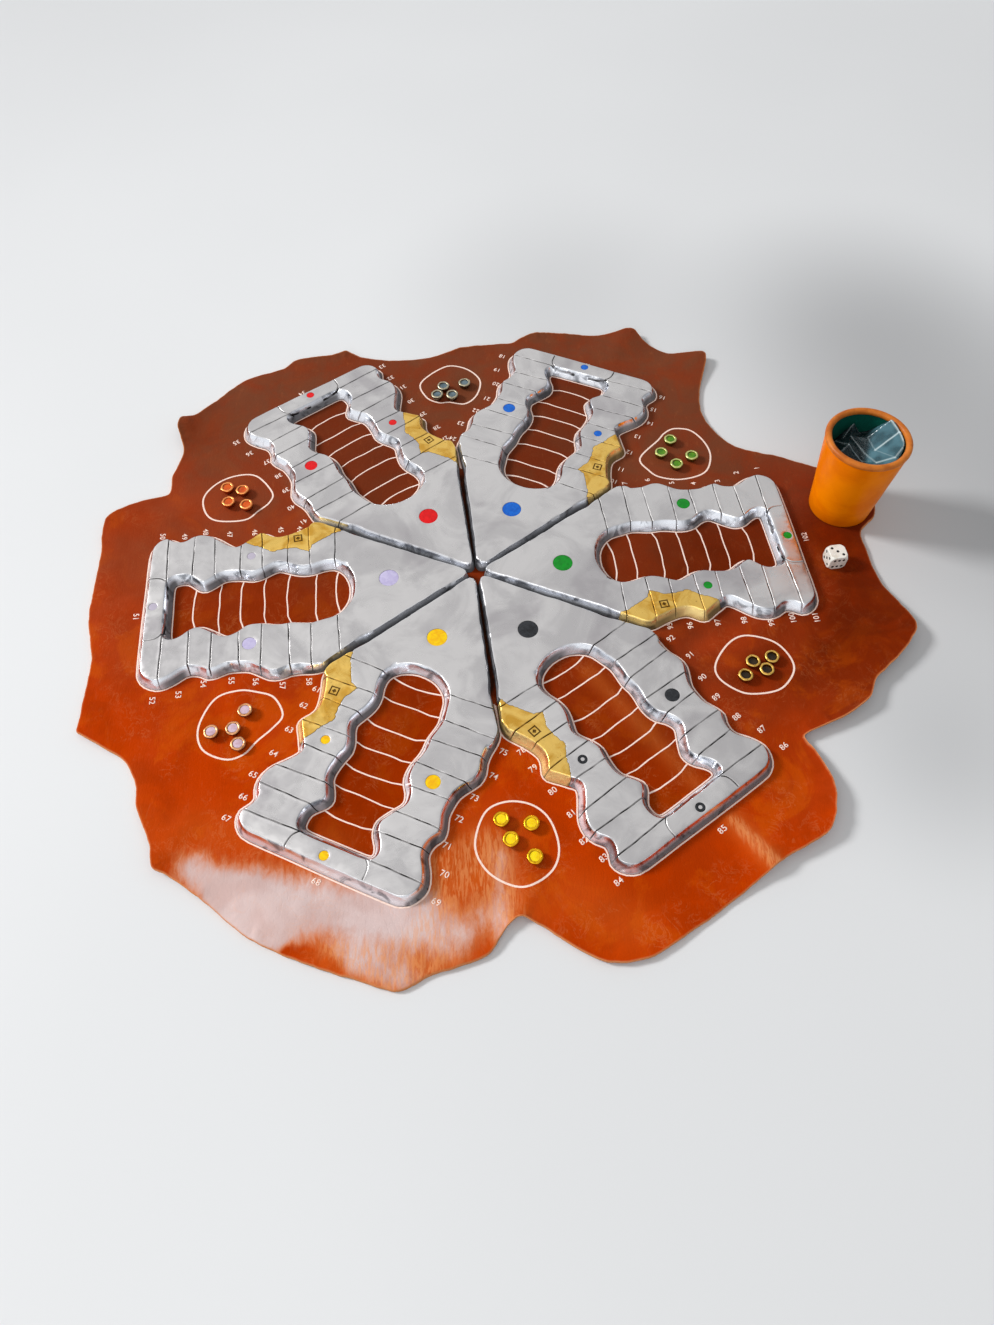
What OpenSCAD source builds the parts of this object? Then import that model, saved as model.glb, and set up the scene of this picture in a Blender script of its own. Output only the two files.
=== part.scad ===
// Race board game for six players: six cast plates with brass inlays lie in a star on a
// leather hide, with four brass counters for each player, a die and a leather dice cup.
// The star's centre is the origin, the hide's underside is z = 0, and the first plate points
// nearly along +X.

/* [Star of plates] */
// Distance from the star's centre to the outer end of a plate
star_r = 304; // [300:1:360]
// Angle of the first plate from the X axis, in degrees
star_turn = 5.7; // [-10:0.1:10]
// Thickness of a cast plate
plate_h = 10; // [6:0.5:16]
// Radius of the rounding on a plate's upper edges
edge_round = 2; // [0.8:0.1:2.4]

/* [Grooves and punch mark] */
// Width of the cut lines that part the cells
groove_w = 0.9; // [0.5:0.1:1.6]
// Depth of the cut lines
groove_d = 0.7; // [0.4:0.1:1.5]
// Distance of the first cut line from the star's centre
groove_first = 129; // [126:0.5:132]
// Distance from one cut line to the next
groove_pitch = 21.9; // [20.5:0.1:22.1]
// Length of the short cuts at the outer corners
corner_cut_l = 9; // [6:0.5:11]
// Side of the square punch mark in the brass
stamp_side = 8; // [5:0.5:9]
// Width of the punch mark's frame
stamp_frame = 0.8; // [0.4:0.1:1]
// Side of the small square on its point inside the frame
stamp_core = 2.7; // [1:0.1:3]
// Depth of the punch mark
stamp_d = 0.4; // [0.2:0.1:1]

/* [Enamel dots] */
// Diameter of the dot on the home field
home_dot = 18; // [10:0.5:22]
// Diameter of the dot on the upper arm
start_dot = 12.5; // [6:0.5:16]
// Diameter of the two small dots
safe_dot = 8; // [4.5:0.5:10]
// Diameter of the bare centre where the small dots are rings
ring_hole = 3.4; // [1:0.1:3.8]
// Depth of the pocket that the enamel fills
enamel_d = 1.2; // [0.6:0.1:2.5]
// Gap round the enamel in its pocket
enamel_gap = 0.1; // [0.05:0.05:0.3]

/* [Leather hide] */
// Thickness of the leather
hide_t = 3; // [2:0.1:5]
// Width of the quite flat hide beyond the lines round the plates
flat_margin = 5; // [3:0.5:9]
// Height of the highest curl at the hide's margin
curl_h = 10; // [1:0.5:15]
// Gap between the hide and each loose piece that lies on it
seat_gap = 0.02; // [0.01:0.01:0.1]

/* [Printed lines] */
// Width of the lines of the windows and round the plates
line_w = 1.2; // [0.6:0.1:1.6]
// Width of the loops round the counters
loop_w = 1.6; // [0.8:0.1:2.4]
// Thickness of the printed paint
line_t = 0.2; // [0.1:0.05:0.4]
// Distance from a plate's foot to the line beside it
line_gap = 1.3; // [0.6:0.1:1.6]

/* [Counters] */
// Diameter of a counter at its widest
counter_d = 13; // [10:0.1:13.2]
// Height of a counter
counter_h = 6.5; // [5:0.1:9]
// Diameter of a counter's foot
counter_foot = 9.4; // [7:0.1:9.8]
// Height at which a counter is widest
belly_h = 4.4; // [3:0.1:5]
// Radius of the rounding round the top of a counter
counter_round = 1; // [0.4:0.1:1.2]
// Diameter of the well for the enamel
well_d = 8.4; // [5:0.1:8.8]
// Depth of the well
well_depth = 3.4; // [1:0.1:3.8]
// How much narrower the well is at its floor, all round
well_draft = 0.8; // [0.2:0.1:1.5]
// Bevel round the well's mouth
well_bevel = 0.4; // [0.1:0.1:0.5]
// Slant of a counter's hand-finished rim, in degrees
rim_slant = 4; // [0:0.5:6]

/* [Die] */
// Side of the die
die_side = 16; // [12:0.5:20]
// How much the rounding takes off each of the die's corners
corner_off = 2.2; // [1:0.1:2.4]
// Diameter of a pip
pip_d = 2.6; // [1.6:0.1:2.8]
// Distance from the die's edges to the middle of the outer pips
pip_margin = 3.9; // [3.5:0.1:4.2]
// Depth of a pip
pip_depth = 0.5; // [0.3:0.1:1]
// Gap round the paint in a pip
pip_gap = 0.05; // [0.02:0.01:0.1]

/* [Dice cup] */
// Height of the cup
cup_h = 90; // [60:1:120]
// Diameter over the rolled rim
cup_rim_d = 76; // [66:0.5:84]
// Diameter of the cup's foot
cup_foot_d = 57; // [45:0.5:60]
// Thickness of the leather wall
cup_wall = 2.2; // [1.5:0.1:2.6]
// Thickness of the felt lining
lining_t = 1.4; // [0.8:0.1:1.8]
// Thickness of the rolled binding round the mouth
rim_roll = 6; // [5.6:0.1:8]
// Height of the straight wall below the binding
collar_h = 2; // [1:0.5:6]
// Thickness of the base disc
cup_base_t = 3; // [2:0.5:6]
// Gap between the layers of the cup
cup_gap = 0.1; // [0.05:0.05:0.2]

/* [Hidden] */
// The drawn star has a radius of 304, and every place on the board grows with it. The
// drawn curls have a height of 10.
drawn_r = 304;
grow_by = star_r / drawn_r;
drawn_curl_h = 10;
curl = curl_h / drawn_curl_h;
colours = ["green", "blue", "red", "lilac", "yellow", "black"];
enamel_colours = ["seagreen", "royalblue", "firebrick", "thistle", "gold", "dimgray"];
counter_colours = ["red", "blue", "green", "black", "yellow", "lilac"];

hide_top = hide_t;
seat_z = hide_top + seat_gap;
plate_top = seat_z + plate_h;
over = 1;
run_on = 1.6;
plate_steps = 2;
hide_steps = 2;
loop_steps = 6;

// Foot of a plate, counter-clockwise from its tip: lower edge, outer end, upper edge
plate_foot_drawn = [
    [10.5, -4.5], [30, -15], [65, -34.5], [98, -52.5], [110, -59.5], [120, -66.5], [130, -72],
    [139, -77.5], [147, -79], [154, -77], [162, -73.5], [171, -70.5], [180, -69], [187, -71.5],
    [193, -75.5], [199, -76], [207, -70.5], [214, -66], [220, -62.5], [227, -66], [236, -73.5],
    [244, -79], [254, -81.5], [263, -79.5], [270, -75.5], [277, -77], [284, -81], [292, -79.5],
    [299, -73], [302, -62], [302.5, -30], [303.5, 10], [304, 58], [302.5, 70], [297, 77.5],
    [288, 82], [280, 81.5], [271, 77.5], [263, 72.5], [256, 71.5], [249, 73.5], [243, 77],
    [235, 76], [226, 73], [216, 73], [207, 74.5], [199, 79], [190, 84.5], [181, 85.5],
    [172, 83], [163, 82.5], [153, 83.5], [144, 82.5], [136, 77.5], [127, 71.5], [119, 66],
    [113, 61.5], [107, 58.5], [98, 54.5], [65, 35.5], [30, 15.5], [10.5, 4.5]];

// Foot of the window in a plate, counter-clockwise from its rounded inner end
window_foot_drawn = [
    [115, -4], [118, -15], [122.5, -22], [130, -27], [140, -27], [149, -24.5], [158, -24],
    [166, -26], [174, -29.5], [181, -32], [188, -30], [196, -26], [205, -24], [214, -26],
    [225, -27.5], [233, -26.5], [240, -22], [248, -18], [254, -19.5], [259, -24], [265, -28.5],
    [273, -29], [278, -26.5], [279.5, -19], [279.5, 4], [279.5, 27], [278, 33], [273.5, 34],
    [268, 31.5], [262, 27], [256, 24.5], [250, 24.5], [244, 27.5], [237, 32], [231, 36],
    [226, 37], [219, 34.5], [212, 29.5], [204, 27.5], [195, 28], [187, 30], [179, 31],
    [170, 30.5], [161, 32], [152, 33], [142, 31], [133, 29], [126, 25], [120, 18], [116, 9]];

// The brass inlay takes the plate's lower edge between these two points of the foot. Inside,
// it meets the cast metal along a torn edge, drawn from its inner end to its outer end.
inlay_from_index = 5;
inlay_to_index = 17;
torn_edge_drawn = [
    [127, -63], [133, -59.5], [140, -56], [149, -51], [152, -43.5], [156, -45.5],
    [165, -49.5], [175, -50], [186, -47.5], [190, -50.5], [195, -54], [205, -58.5]];

// Places on a plate: the dots, the punch mark and the short cuts at the two outer corners
home_at = [80, -2.5];
start_at = [206, 52];
safe_at = [[205.5, -45.5], [293, 0.5]];
stamp_at = [162, -60.5];
corner_cuts = [[286, 33, 35], [294, 36, 5], [286, -28, -35], [294, -31, -5]];

// Cut lines: how many, their tilts by turns, in degrees, and where they start and end,
// which is inside the window and past the plate's edge
groove_count = 8;
groove_tilts = [1.5, -1];
groove_from = 8;
groove_to = 90;

// The ladder of lines in a window: where each crosses the middle line, how far it is bowed,
// and the spacing of its points, which puts its ends past the window's edge
ladder_at = [126, 147, 171, 194, 214, 235, 257];
ladder_bow = [2, -1, 1.5, -1, 1, -1.5, 1];
ladder_step = 21;

// The lines round the plates are left out nearer the centre than this
lines_from = 118;

// Edge of the hide, clockwise from its right-hand side: x, y, and how high the
// leather rises half way out to the edge and at the edge, where its margin curls
hide_edge_drawn = [
    [366, 40, 0, 0], [366, 10, 0, 0], [370, -25, 0, 2], [383, -62, 2, 8], [383, -79, 3, 10],
    [362, -104, 3, 9], [338, -125, 2, 8], [328, -143, 2, 8], [304, -159, 1, 7],
    [272, -172, 1, 6], [267, -178, 0, 5], [272, -188, 1, 6], [280, -215, 2, 9],
    [278, -239, 2, 9], [267, -260, 2, 7], [236, -276, 6, 6], [212, -292, 2, 3],
    [180, -314, 0, 0], [141, -338, 0, 1], [118, -349, 0, 2], [88, -350, 0, 2],
    [58, -333, 0, 1], [29, -316, 2, 4], [13, -330, 3, 3], [1, -344, 3, 1], [-39, -356, 4, 0],
    [-62, -366, 5, 0], [-90, -358, 6, 0], [-127, -346, 6, 0], [-174, -325, 5, 0],
    [-209, -298, 4, 0], [-241, -276, 1, 3], [-253, -270, 0, 4], [-259, -250, 1, 3],
    [-275, -220, 1, 1], [-280, -199, 0, 0], [-296, -175, 0, 0], [-333, -153, 0, 3],
    [-338, -140, 0, 2], [-341, -78, 0, 0], [-353, -32, 0, 0], [-356, 40, 0, 1],
    [-358, 84, 1, 4], [-328, 105, 0, 1], [-304, 114, 0, 0], [-304, 137, 0, 0],
    [-297, 170, 0, 3], [-305, 197, 3, 9], [-304, 214, 3, 8], [-291, 220, 1, 3],
    [-270, 250, 0, 0], [-245, 276, 0, 0], [-207, 291, 0, 0], [-193, 303, 0, 2],
    [-154, 309, 0, 3], [-139, 313, 0, 4], [-122, 305, 0, 1], [-86, 299, 0, 0],
    [-44, 303, 0, 0], [-14, 315, 0, 2], [24, 321, 0, 0], [46, 323, 0, 0], [72, 335, 0, 3],
    [138, 329, 0, 1], [172, 333, 2, 6], [182, 330, 2, 6], [192, 314, 0, 1],
    [215, 297, 0, 0], [245, 293, 1, 5], [254, 284, 1, 6], [243, 245, 0, 1], [238, 215, 0, 0],
    [243, 186, 0, 0], [266, 154, 0, 0], [306, 139, 0, 0], [339, 123, 0, 0], [373, 106, 0, 0],
    [387, 85, 0, 0], [383, 58, 0, 0]];

// Least width of the hide's margin, where its edge comes inside the flat radius
margin_least = 6;

// The drawn loops, counter-clockwise, and the counters that wait in them, one list for each
// colour in counter_colours
loops_drawn = [
    [[-202, 99], [-201, 112], [-219, 134], [-240, 135], [-258, 125], [-268, 107], [-263, 87],
     [-250, 77], [-224, 77], [-212, 88]],
    [[8, 258], [3, 272], [-12, 284], [-31, 285], [-56, 262], [-50, 240], [-37, 231], [-25, 231],
     [-9, 228], [3, 239]],
    [[238, 141], [235, 161], [223, 178], [207, 182], [196, 176], [188, 166], [167, 142],
     [174, 125], [184, 116], [205, 112], [229, 120]],
    [[273, -107], [269, -92], [258, -80], [236, -74], [220, -82], [206, -102], [207, -117],
     [222, -130], [236, -133], [255, -130], [267, -120]],
    [[60, -263], [54, -240], [40, -227], [20, -224], [3, -233], [-5, -259], [3, -279],
     [20, -291], [36, -293], [54, -281]],
    [[-166, -139], [-175, -122], [-190, -116], [-207, -114], [-226, -122], [-236, -148],
     [-230, -169], [-210, -179], [-195, -175], [-185, -163], [-173, -151]]];
counters_drawn = [
    [[-244.5, 115.5], [-229, 111.5], [-241, 97], [-223, 92.5]],
    [[-31.5, 250.5], [-9, 254.5], [-38, 238], [-22, 237]],
    [[199.5, 162], [188, 144.5], [218, 139], [201.5, 128.5]],
    [[228.5, -117], [237, -103.5], [247.5, -112], [254, -99.5]],
    [[16, -240.5], [39.5, -244.5], [23, -257], [41, -271.5]],
    [[-197, -136], [-223, -155.5], [-205, -153], [-199, -167.5]]];

// Turn of a counter's slant from one to the next, and from one player to the next
slant_turn = 70;
player_turn = 25;

die_at = [331, 4];
die_turn = 6;
cup_at = [352, 73];

plate_foot = smooth_loop(plate_foot_drawn * grow_by, plate_steps);
window_foot = smooth_loop(window_foot_drawn * grow_by, plate_steps);

// Radius inside which the hide lies quite flat, under the plates and the lines round them
flat_r = max([for (p = plate_foot) norm(p)]) + line_gap + line_w + flat_margin;

// Radii and heights of the counters, the die and the dice cup's layers
counter_r = counter_d / 2;
well_r = well_d / 2;
foot_r = counter_foot / 2;
well_floor = counter_h - well_depth;
die_ball_r = die_side * sqrt(3) / 2 - corner_off;
pip_spacing = die_side / 2 - pip_margin;
roll_r = rim_roll / 2;
cup_foot_r = cup_foot_d / 2;
shell_r = cup_rim_d / 2 - (rim_roll - cup_wall - lining_t - cup_gap) / 2;
shell_top = cup_h - roll_r;
collar_z = cup_h - rim_roll - collar_h;
lining_r = shell_r - cup_wall - cup_gap;
lining_foot_r = cup_foot_r - cup_wall - cup_gap;

// A point on the smooth curve through b and c, with a and d as their neighbours
function curve_point(a, b, c, d, t) =
    (2 * b + (c - a) * t + (2 * a - 5 * b + 4 * c - d) * t * t
        + (3 * b - a - 3 * c + d) * t * t * t) / 2;

// A smooth closed curve through the points, with steps points for each one given
function smooth_loop(p, steps) =
    let (n = len(p))
    [for (i = [0 : n - 1], j = [0 : steps - 1])
        curve_point(p[(i + n - 1) % n], p[i], p[(i + 1) % n], p[(i + 2) % n], j / steps)];

// The outward normal of a counter-clockwise loop at one of its points
function outward(p, i) =
    let (n = len(p), t = p[(i + 1) % n] - p[(i + n - 1) % n])
    [t.y, -t.x] / norm(t);

// The loop with each point moved outwards, or inwards where the distance is negative
function grown(p, distance) =
    [for (i = [0 : len(p) - 1]) p[i] + distance * outward(p, i)];

// Points of a loop, each with the way that it moves as the upper edge rounds over
function rounded_points(p, from, to) = [for (i = [from : to]) [p[i], outward(p, i)]];

// The ring of such points at one height, each moved its way by a distance
function ring_at(points, z, distance = 0) =
    [for (q = points) [q[0].x + distance * q[1].x, q[0].y + distance * q[1].y, z]];

// The rings of an upper edge that rounds over inwards, side -1, or outwards, side 1, in two
// facets. The second facet runs on past the plate's top.
function rounding(points, side) =
    let (mid = edge_round * (1 - cos(45)), rise = run_on * mid)
    [ring_at(points, plate_top - edge_round, 0), ring_at(points, plate_top - mid, side * mid),
        ring_at(points, plate_top - mid + rise, side * (mid + run_on * (edge_round - mid)))];

// A solid through stacked rings of equally many points, each ring a list of points in space
module stacked(rings) {
    n = len(rings[0]);
    last = len(rings) - 1;
    points = [for (ring = rings) for (p = ring) p];
    walls = [for (k = [0 : last - 1], i = [0 : n - 1])
        let (j = (i + 1) % n, low = k * n, high = low + n)
        each [[low + i, high + i, high + j], [low + i, high + j, low + j]]];
    floor_face = [[for (i = [0 : n - 1]) i]];
    top_face = [[for (i = [n - 1 : -1 : 0]) last * n + i]];
    polyhedron(points, concat(floor_face, walls, top_face), convexity = 10);
}

// Puts its children on plate k of the star
module on_plate(k) rotate(star_turn + 60 * k) children();

// The torn edge between brass and cast metal, which stays upright. It starts and ends square
// to the foot, for as long as the rounding needs and a little more.
foot_last = len(plate_foot) - 1;
inlay_first = inlay_from_index * plate_steps;
inlay_last = inlay_to_index * plate_steps;
shoulder_spare = 0.5;
shoulder = run_on * edge_round + shoulder_spare;
torn_points = concat(
    [[plate_foot[inlay_first] - shoulder * outward(plate_foot, inlay_first), [0, 0]]],
    [for (p = torn_edge_drawn) [p * grow_by, [0, 0]]],
    [[plate_foot[inlay_last] - shoulder * outward(plate_foot, inlay_last), [0, 0]]]);

// Outline of the cast metal, and of the brass inlay that fills the rest of the plate
cast_points = concat(rounded_points(plate_foot, 0, inlay_first), torn_points,
    rounded_points(plate_foot, inlay_last, foot_last));
inlay_points = concat(rounded_points(plate_foot, inlay_first, inlay_last),
    [for (i = [len(torn_points) - 1 : -1 : 0]) torn_points[i]]);

// A slab of a plate's height with its upper edge rounded, cut flat below and above
module slab(points) {
    intersection() {
        stacked(concat([ring_at(points, seat_z - over)], rounding(points, -1)));
        translate([0, -star_r, seat_z]) cube([2 * star_r, 2 * star_r, plate_h]);
    }
}

// What the window takes out of the plate, with the window's upper edge rounded
module window_cut() {
    points = rounded_points(window_foot, 0, len(window_foot) - 1);
    stacked(concat([ring_at(points, seat_z - over)], rounding(points, 1)));
}

// The cut lines across both arms and the short cuts at the outer corners
module cuts() {
    cut_z = plate_top - groove_d;
    for (i = [0 : groove_count - 1])
        translate([(groove_first + i * groove_pitch) * grow_by, 0, cut_z])
            for (arm = [-1, 1])
                rotate(arm * groove_tilts[i % 2])
                    translate([-groove_w / 2, (arm > 0 ? groove_from : -groove_to) * grow_by, 0])
                        cube([groove_w, (groove_to - groove_from) * grow_by, groove_d + over]);
    for (c = corner_cuts)
        translate([c[0] * grow_by, c[1] * grow_by, cut_z])
            rotate(c[2])
                translate([-corner_cut_l / 2, -groove_w / 2, 0])
                    cube([corner_cut_l, groove_w, groove_d + over]);
}

// The dots of one plate as round pegs, or as the pockets that hold them
module dots(gap, depth, hollow) {
    peg(home_at, home_dot / 2 - gap, depth, false);
    peg(start_at, start_dot / 2 - gap, depth, false);
    for (p = safe_at) peg(p, safe_dot / 2 - gap, depth, hollow);
}

module peg(at, r, depth, hollow) {
    translate([at.x * grow_by, at.y * grow_by, plate_top - enamel_d])
        difference() {
            cylinder(h = depth, r = r, $fn = 48);
            if (hollow)
                translate([0, 0, depth / 2]) cylinder(h = depth, r = ring_hole / 2, $fn = 32);
        }
}

module plate(k) {
    color("silver")
        on_plate(k) difference() {
            slab(cast_points);
            window_cut();
            cuts();
            dots(0, enamel_d + over, false);
        }
}

module inlay(k) {
    color("goldenrod")
        on_plate(k) difference() {
            slab(inlay_points);
            cuts();
            punch_mark();
        }
}

// A square frame with a small square on its point inside it
module punch_mark() {
    translate([stamp_at.x * grow_by, stamp_at.y * grow_by, plate_top - stamp_d])
        linear_extrude(stamp_d + over) {
            difference() {
                square(stamp_side, center = true);
                square(stamp_side - 2 * stamp_frame, center = true);
            }
            rotate(45) square(stamp_core, center = true);
        }
}

module enamel(k) {
    color(enamel_colours[k])
        on_plate(k) dots(enamel_gap, enamel_d, colours[k] == "black");
}

// One point of a ring of the hide, at a share of the way from its flat middle to its edge,
// with its height above the flat part
function hide_point(p, share) =
    let (r = norm([p.x, p.y]), flat_share = min(flat_r, r - margin_least) / r)
    let (s = flat_share + (1 - flat_share) * share)
    let (rise = share == 0 ? 0 : curl * (share < 1 ? max(0, p[2]) : max(0, p[3])))
    [p.x * s, p.y * s, rise];

module leather_hide() {
    edge = smooth_loop([for (p = hide_edge_drawn)
        [p.x * grow_by, p.y * grow_by, p[2], p[3]]], hide_steps);
    upper = [for (share = [0, 0.5, 1]) [for (p = edge) hide_point(p, share) + [0, 0, hide_t]]];
    under = [for (share = [1, 0.5, 0]) [for (p = edge) hide_point(p, share)]];
    color("sienna") stacked(concat(upper, under));
}

// A flat stroke along a loop, half its width to each side
module loop_stroke(p, width) {
    difference() {
        polygon(grown(p, width / 2));
        polygon(grown(p, -width / 2));
    }
}

// The line round each window and the ladder of lines across it
module window_lines() {
    inner = grown(window_foot, -line_gap - line_w / 2);
    color("mistyrose")
        translate([0, 0, hide_top]) linear_extrude(line_t)
            for (k = [0 : 5]) on_plate(k) {
                loop_stroke(inner, line_w);
                intersection() {
                    polygon(inner);
                    for (i = [0 : len(ladder_at) - 1]) ladder_line(i);
                }
            }
}

// One slightly bowed line across the window
module ladder_line(i) {
    x = ladder_at[i] * grow_by;
    bow = ladder_bow[i] * grow_by;
    middle = [for (j = [-2 : 2]) [x + bow * (1 - j * j / 2), ladder_step * j * grow_by]];
    polygon(concat([for (p = middle) p + [line_w / 2, 0]],
        [for (j = [4 : -1 : 0]) middle[j] - [line_w / 2, 0]]));
}

// The line round each plate's arms and outer end, left out between neighbouring plates
module plate_lines() {
    beside = [for (i = [0 : foot_last]) if (plate_foot[i].x > lines_from * grow_by) i];
    inner = [for (i = beside) plate_foot[i] + line_gap * outward(plate_foot, i)];
    outer = [for (i = beside) plate_foot[i] + (line_gap + line_w) * outward(plate_foot, i)];
    color("mistyrose")
        translate([0, 0, hide_top]) linear_extrude(line_t)
            for (k = [0 : 5]) on_plate(k)
                polygon(concat(outer, [for (i = [len(inner) - 1 : -1 : 0]) inner[i]]));
}

module counter_loops() {
    color("mistyrose")
        translate([0, 0, hide_top]) linear_extrude(line_t)
            for (p = loops_drawn) loop_stroke(smooth_loop(p * grow_by, loop_steps), loop_w);
}

// A brass counter: a small cup on a narrow foot, its rim filed a little out of level
module counter(player, i) {
    at = counters_drawn[player][i] * grow_by;
    outside = concat([[0, 0], [foot_r, 0], [counter_r, belly_h]], [for (a = [0 : 30 : 90])
        [counter_r - counter_round * (1 - cos(a)), counter_h - counter_round * (1 - sin(a))]]);
    well = [[well_r + well_bevel, counter_h], [well_r, counter_h - well_bevel],
        [well_r - well_draft, well_floor], [0, well_floor]];
    color("darkgoldenrod")
        translate([at.x, at.y, seat_z])
            rotate(slant_turn * i + player_turn * player)
                difference() {
                    rotate_extrude($fn = 40) polygon(concat(outside, well));
                    translate([0, 0, counter_h])
                        rotate([0, rim_slant, 0])
                            translate([-counter_d, -counter_d, 0])
                                cube([2 * counter_d, 2 * counter_d, counter_d]);
                }
}

// Puts its children at the die's centre
module at_die() {
    translate([die_at.x * grow_by, die_at.y * grow_by, seat_z + die_side / 2])
        rotate(die_turn) children();
}

// The places of the pips on a face with so many, in steps of the spacing
function pips_of(count) =
    count == 1 ? [[0, 0]] :
    count == 2 ? [[-1, -1], [1, 1]] :
    count == 3 ? [[-1, 1], [0, 0], [1, -1]] :
    count == 4 ? [[-1, -1], [-1, 1], [1, -1], [1, 1]] :
    count == 5 ? [[-1, -1], [-1, 1], [1, -1], [1, 1], [0, 0]] :
    [for (x = [-1, 0, 1], y = [-1, 1]) [x, y]];

// Each face's number of pips and the turn that brings it to the top
die_faces = [[3, [0, 0, 0]], [4, [180, 0, 0]], [6, [90, 0, 0]], [1, [-90, 0, 0]],
    [5, [0, -90, 0]], [2, [0, 90, 0]]];

// The pips of all faces, as paint or, with some extra height, as the pockets that hold it
module pips(gap, extra) {
    for (face = die_faces)
        rotate(face[1])
            for (p = pips_of(face[0]))
                translate([p.x * pip_spacing, p.y * pip_spacing, die_side / 2 - pip_depth])
                    cylinder(h = pip_depth + extra, r = pip_d / 2 - gap, $fn = 24);
}

module die_cube() {
    color("ivory")
        at_die() difference() {
            intersection() {
                cube(die_side, center = true);
                sphere(r = die_ball_r, $fn = 64);
            }
            pips(0, over);
        }
}

module die_pips() {
    color("black") at_die() pips(pip_gap, 0);
}

// Puts its children on the hide where the cup stands
module at_cup() {
    translate([cup_at.x * grow_by, cup_at.y * grow_by, seat_z]) children();
}

module cup_shell() {
    color("darkorange")
        at_cup() rotate_extrude($fn = 96)
            polygon([[cup_foot_r - cup_wall, 0], [cup_foot_r, 0], [shell_r, collar_z],
                [shell_r, shell_top], [shell_r - cup_wall, shell_top],
                [shell_r - cup_wall, collar_z]]);
}

module cup_base() {
    color("saddlebrown")
        at_cup() cylinder(h = cup_base_t, r = lining_foot_r, $fn = 96);
}

module cup_lining() {
    lean = (lining_r - lining_foot_r) / collar_z;
    low_z = cup_base_t;
    floor_z = low_z + lining_t;
    color("darkslategray")
        at_cup() rotate_extrude($fn = 96)
            polygon([[0, low_z], [lining_foot_r + lean * low_z, low_z], [lining_r, collar_z],
                [lining_r, shell_top], [lining_r - lining_t, shell_top],
                [lining_r - lining_t, collar_z],
                [lining_foot_r - lining_t + lean * floor_z, floor_z], [0, floor_z]]);
}

// The rolled binding that grips the shell and the lining at the mouth
module cup_binding() {
    slot_in = lining_r - lining_t - cup_gap;
    slot_w = shell_r + cup_gap - slot_in;
    low_z = cup_h - rim_roll - over;
    color("peru")
        at_cup() rotate_extrude($fn = 96)
            difference() {
                translate([slot_in + slot_w / 2, cup_h - roll_r]) circle(r = roll_r, $fn = 32);
                translate([slot_in, low_z]) square([slot_w, shell_top - low_z]);
            }
}

leather_hide();
window_lines();
plate_lines();
counter_loops();
for (k = [0 : 5]) {
    plate(k);
    inlay(k);
    enamel(k);
}
for (player = [0 : 5], i = [0 : 3])
    counter(player, i);
die_cube();
die_pips();
cup_shell();
cup_lining();
cup_binding();
cup_base();
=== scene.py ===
"""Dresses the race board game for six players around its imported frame: six cast metal plates
with brass inlays and resin dots lie in a star on a leather hide with printed lines and
numbers, with brass counters, a die and a leather dice cup that holds a crumpled clear bag."""

import math
import random

import bmesh
import bpy
import numpy as np
from mathutils import Euler, Matrix, Vector, kdtree, noise
from mathutils.bvhtree import BVHTree
from mathutils.geometry import delaunay_2d_cdt


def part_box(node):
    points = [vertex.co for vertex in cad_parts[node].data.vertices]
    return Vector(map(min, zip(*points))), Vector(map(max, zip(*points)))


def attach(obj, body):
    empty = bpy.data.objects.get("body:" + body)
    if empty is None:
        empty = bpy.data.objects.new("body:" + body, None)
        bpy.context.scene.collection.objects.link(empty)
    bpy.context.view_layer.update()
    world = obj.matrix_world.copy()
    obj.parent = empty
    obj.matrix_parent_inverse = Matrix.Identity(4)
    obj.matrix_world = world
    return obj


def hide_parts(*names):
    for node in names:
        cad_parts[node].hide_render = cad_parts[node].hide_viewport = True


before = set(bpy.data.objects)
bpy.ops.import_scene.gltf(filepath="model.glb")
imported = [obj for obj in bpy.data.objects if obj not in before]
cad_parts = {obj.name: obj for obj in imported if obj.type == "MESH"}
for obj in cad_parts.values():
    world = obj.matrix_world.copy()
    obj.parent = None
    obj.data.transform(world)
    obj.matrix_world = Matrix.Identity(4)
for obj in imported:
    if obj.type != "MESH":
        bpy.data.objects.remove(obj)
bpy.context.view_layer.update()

# Every length below is in millimetres, and pieces are scaled to metres as they are made
MM = 0.001
# Points of a piece that are closer than this, in metres, become one
WELD = 1e-6

# The star of plates
STAR_TURN = 5.7
PLATE_STEP = 60
COLOURS = ["green", "blue", "red", "lilac", "yellow", "black"]
HIDE_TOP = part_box("window_lines")[0].z / MM
PLATE_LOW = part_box("plate_green")[0].z / MM
PLATE_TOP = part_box("plate_green")[1].z / MM
TORN_ROUND = 0.3
# The ground edge of the castings: distance in from the foot, and drop below the top
BEVEL = [(0, 9.6), (0.35, 9.0), (1.1, 7.5), (2.1, 5.5), (3.0, 3.6), (3.65, 2.2), (4.1, 1.2),
         (4.45, 0.5), (4.75, 0.12), (5.1, 0)]
# The sides that meet at the seams lie on lines at this angle to the plate's middle line. Their
# bevel has only this share of that width, or the second where it looks to the bright side.
SEAM_ANGLE = 30
SEAM_BEVEL = 0.45
BRIGHT_BEVEL = 0.8
BRIGHT_SIDE = (-0.41, -0.91)
# Painted shade on the walls that look this way, away from the light
SHADED_SIDE = (0.97, -0.25)
FOOT_SPREAD = 0.9
# How far apart the points lie along the outlines and inside them
OUTLINE_STEP = 1.3
INNER_STEP = 3.4

# Cut lines across the arms and short bowed cuts at the outer corners, as in the part's source
GROOVE_FIRST = 129
GROOVE_PITCH = 21.9
GROOVE_TILTS = [1.5, -1]
GROOVE_REACH = (8, 92)
GROOVE_DEPTH = 0.8
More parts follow.
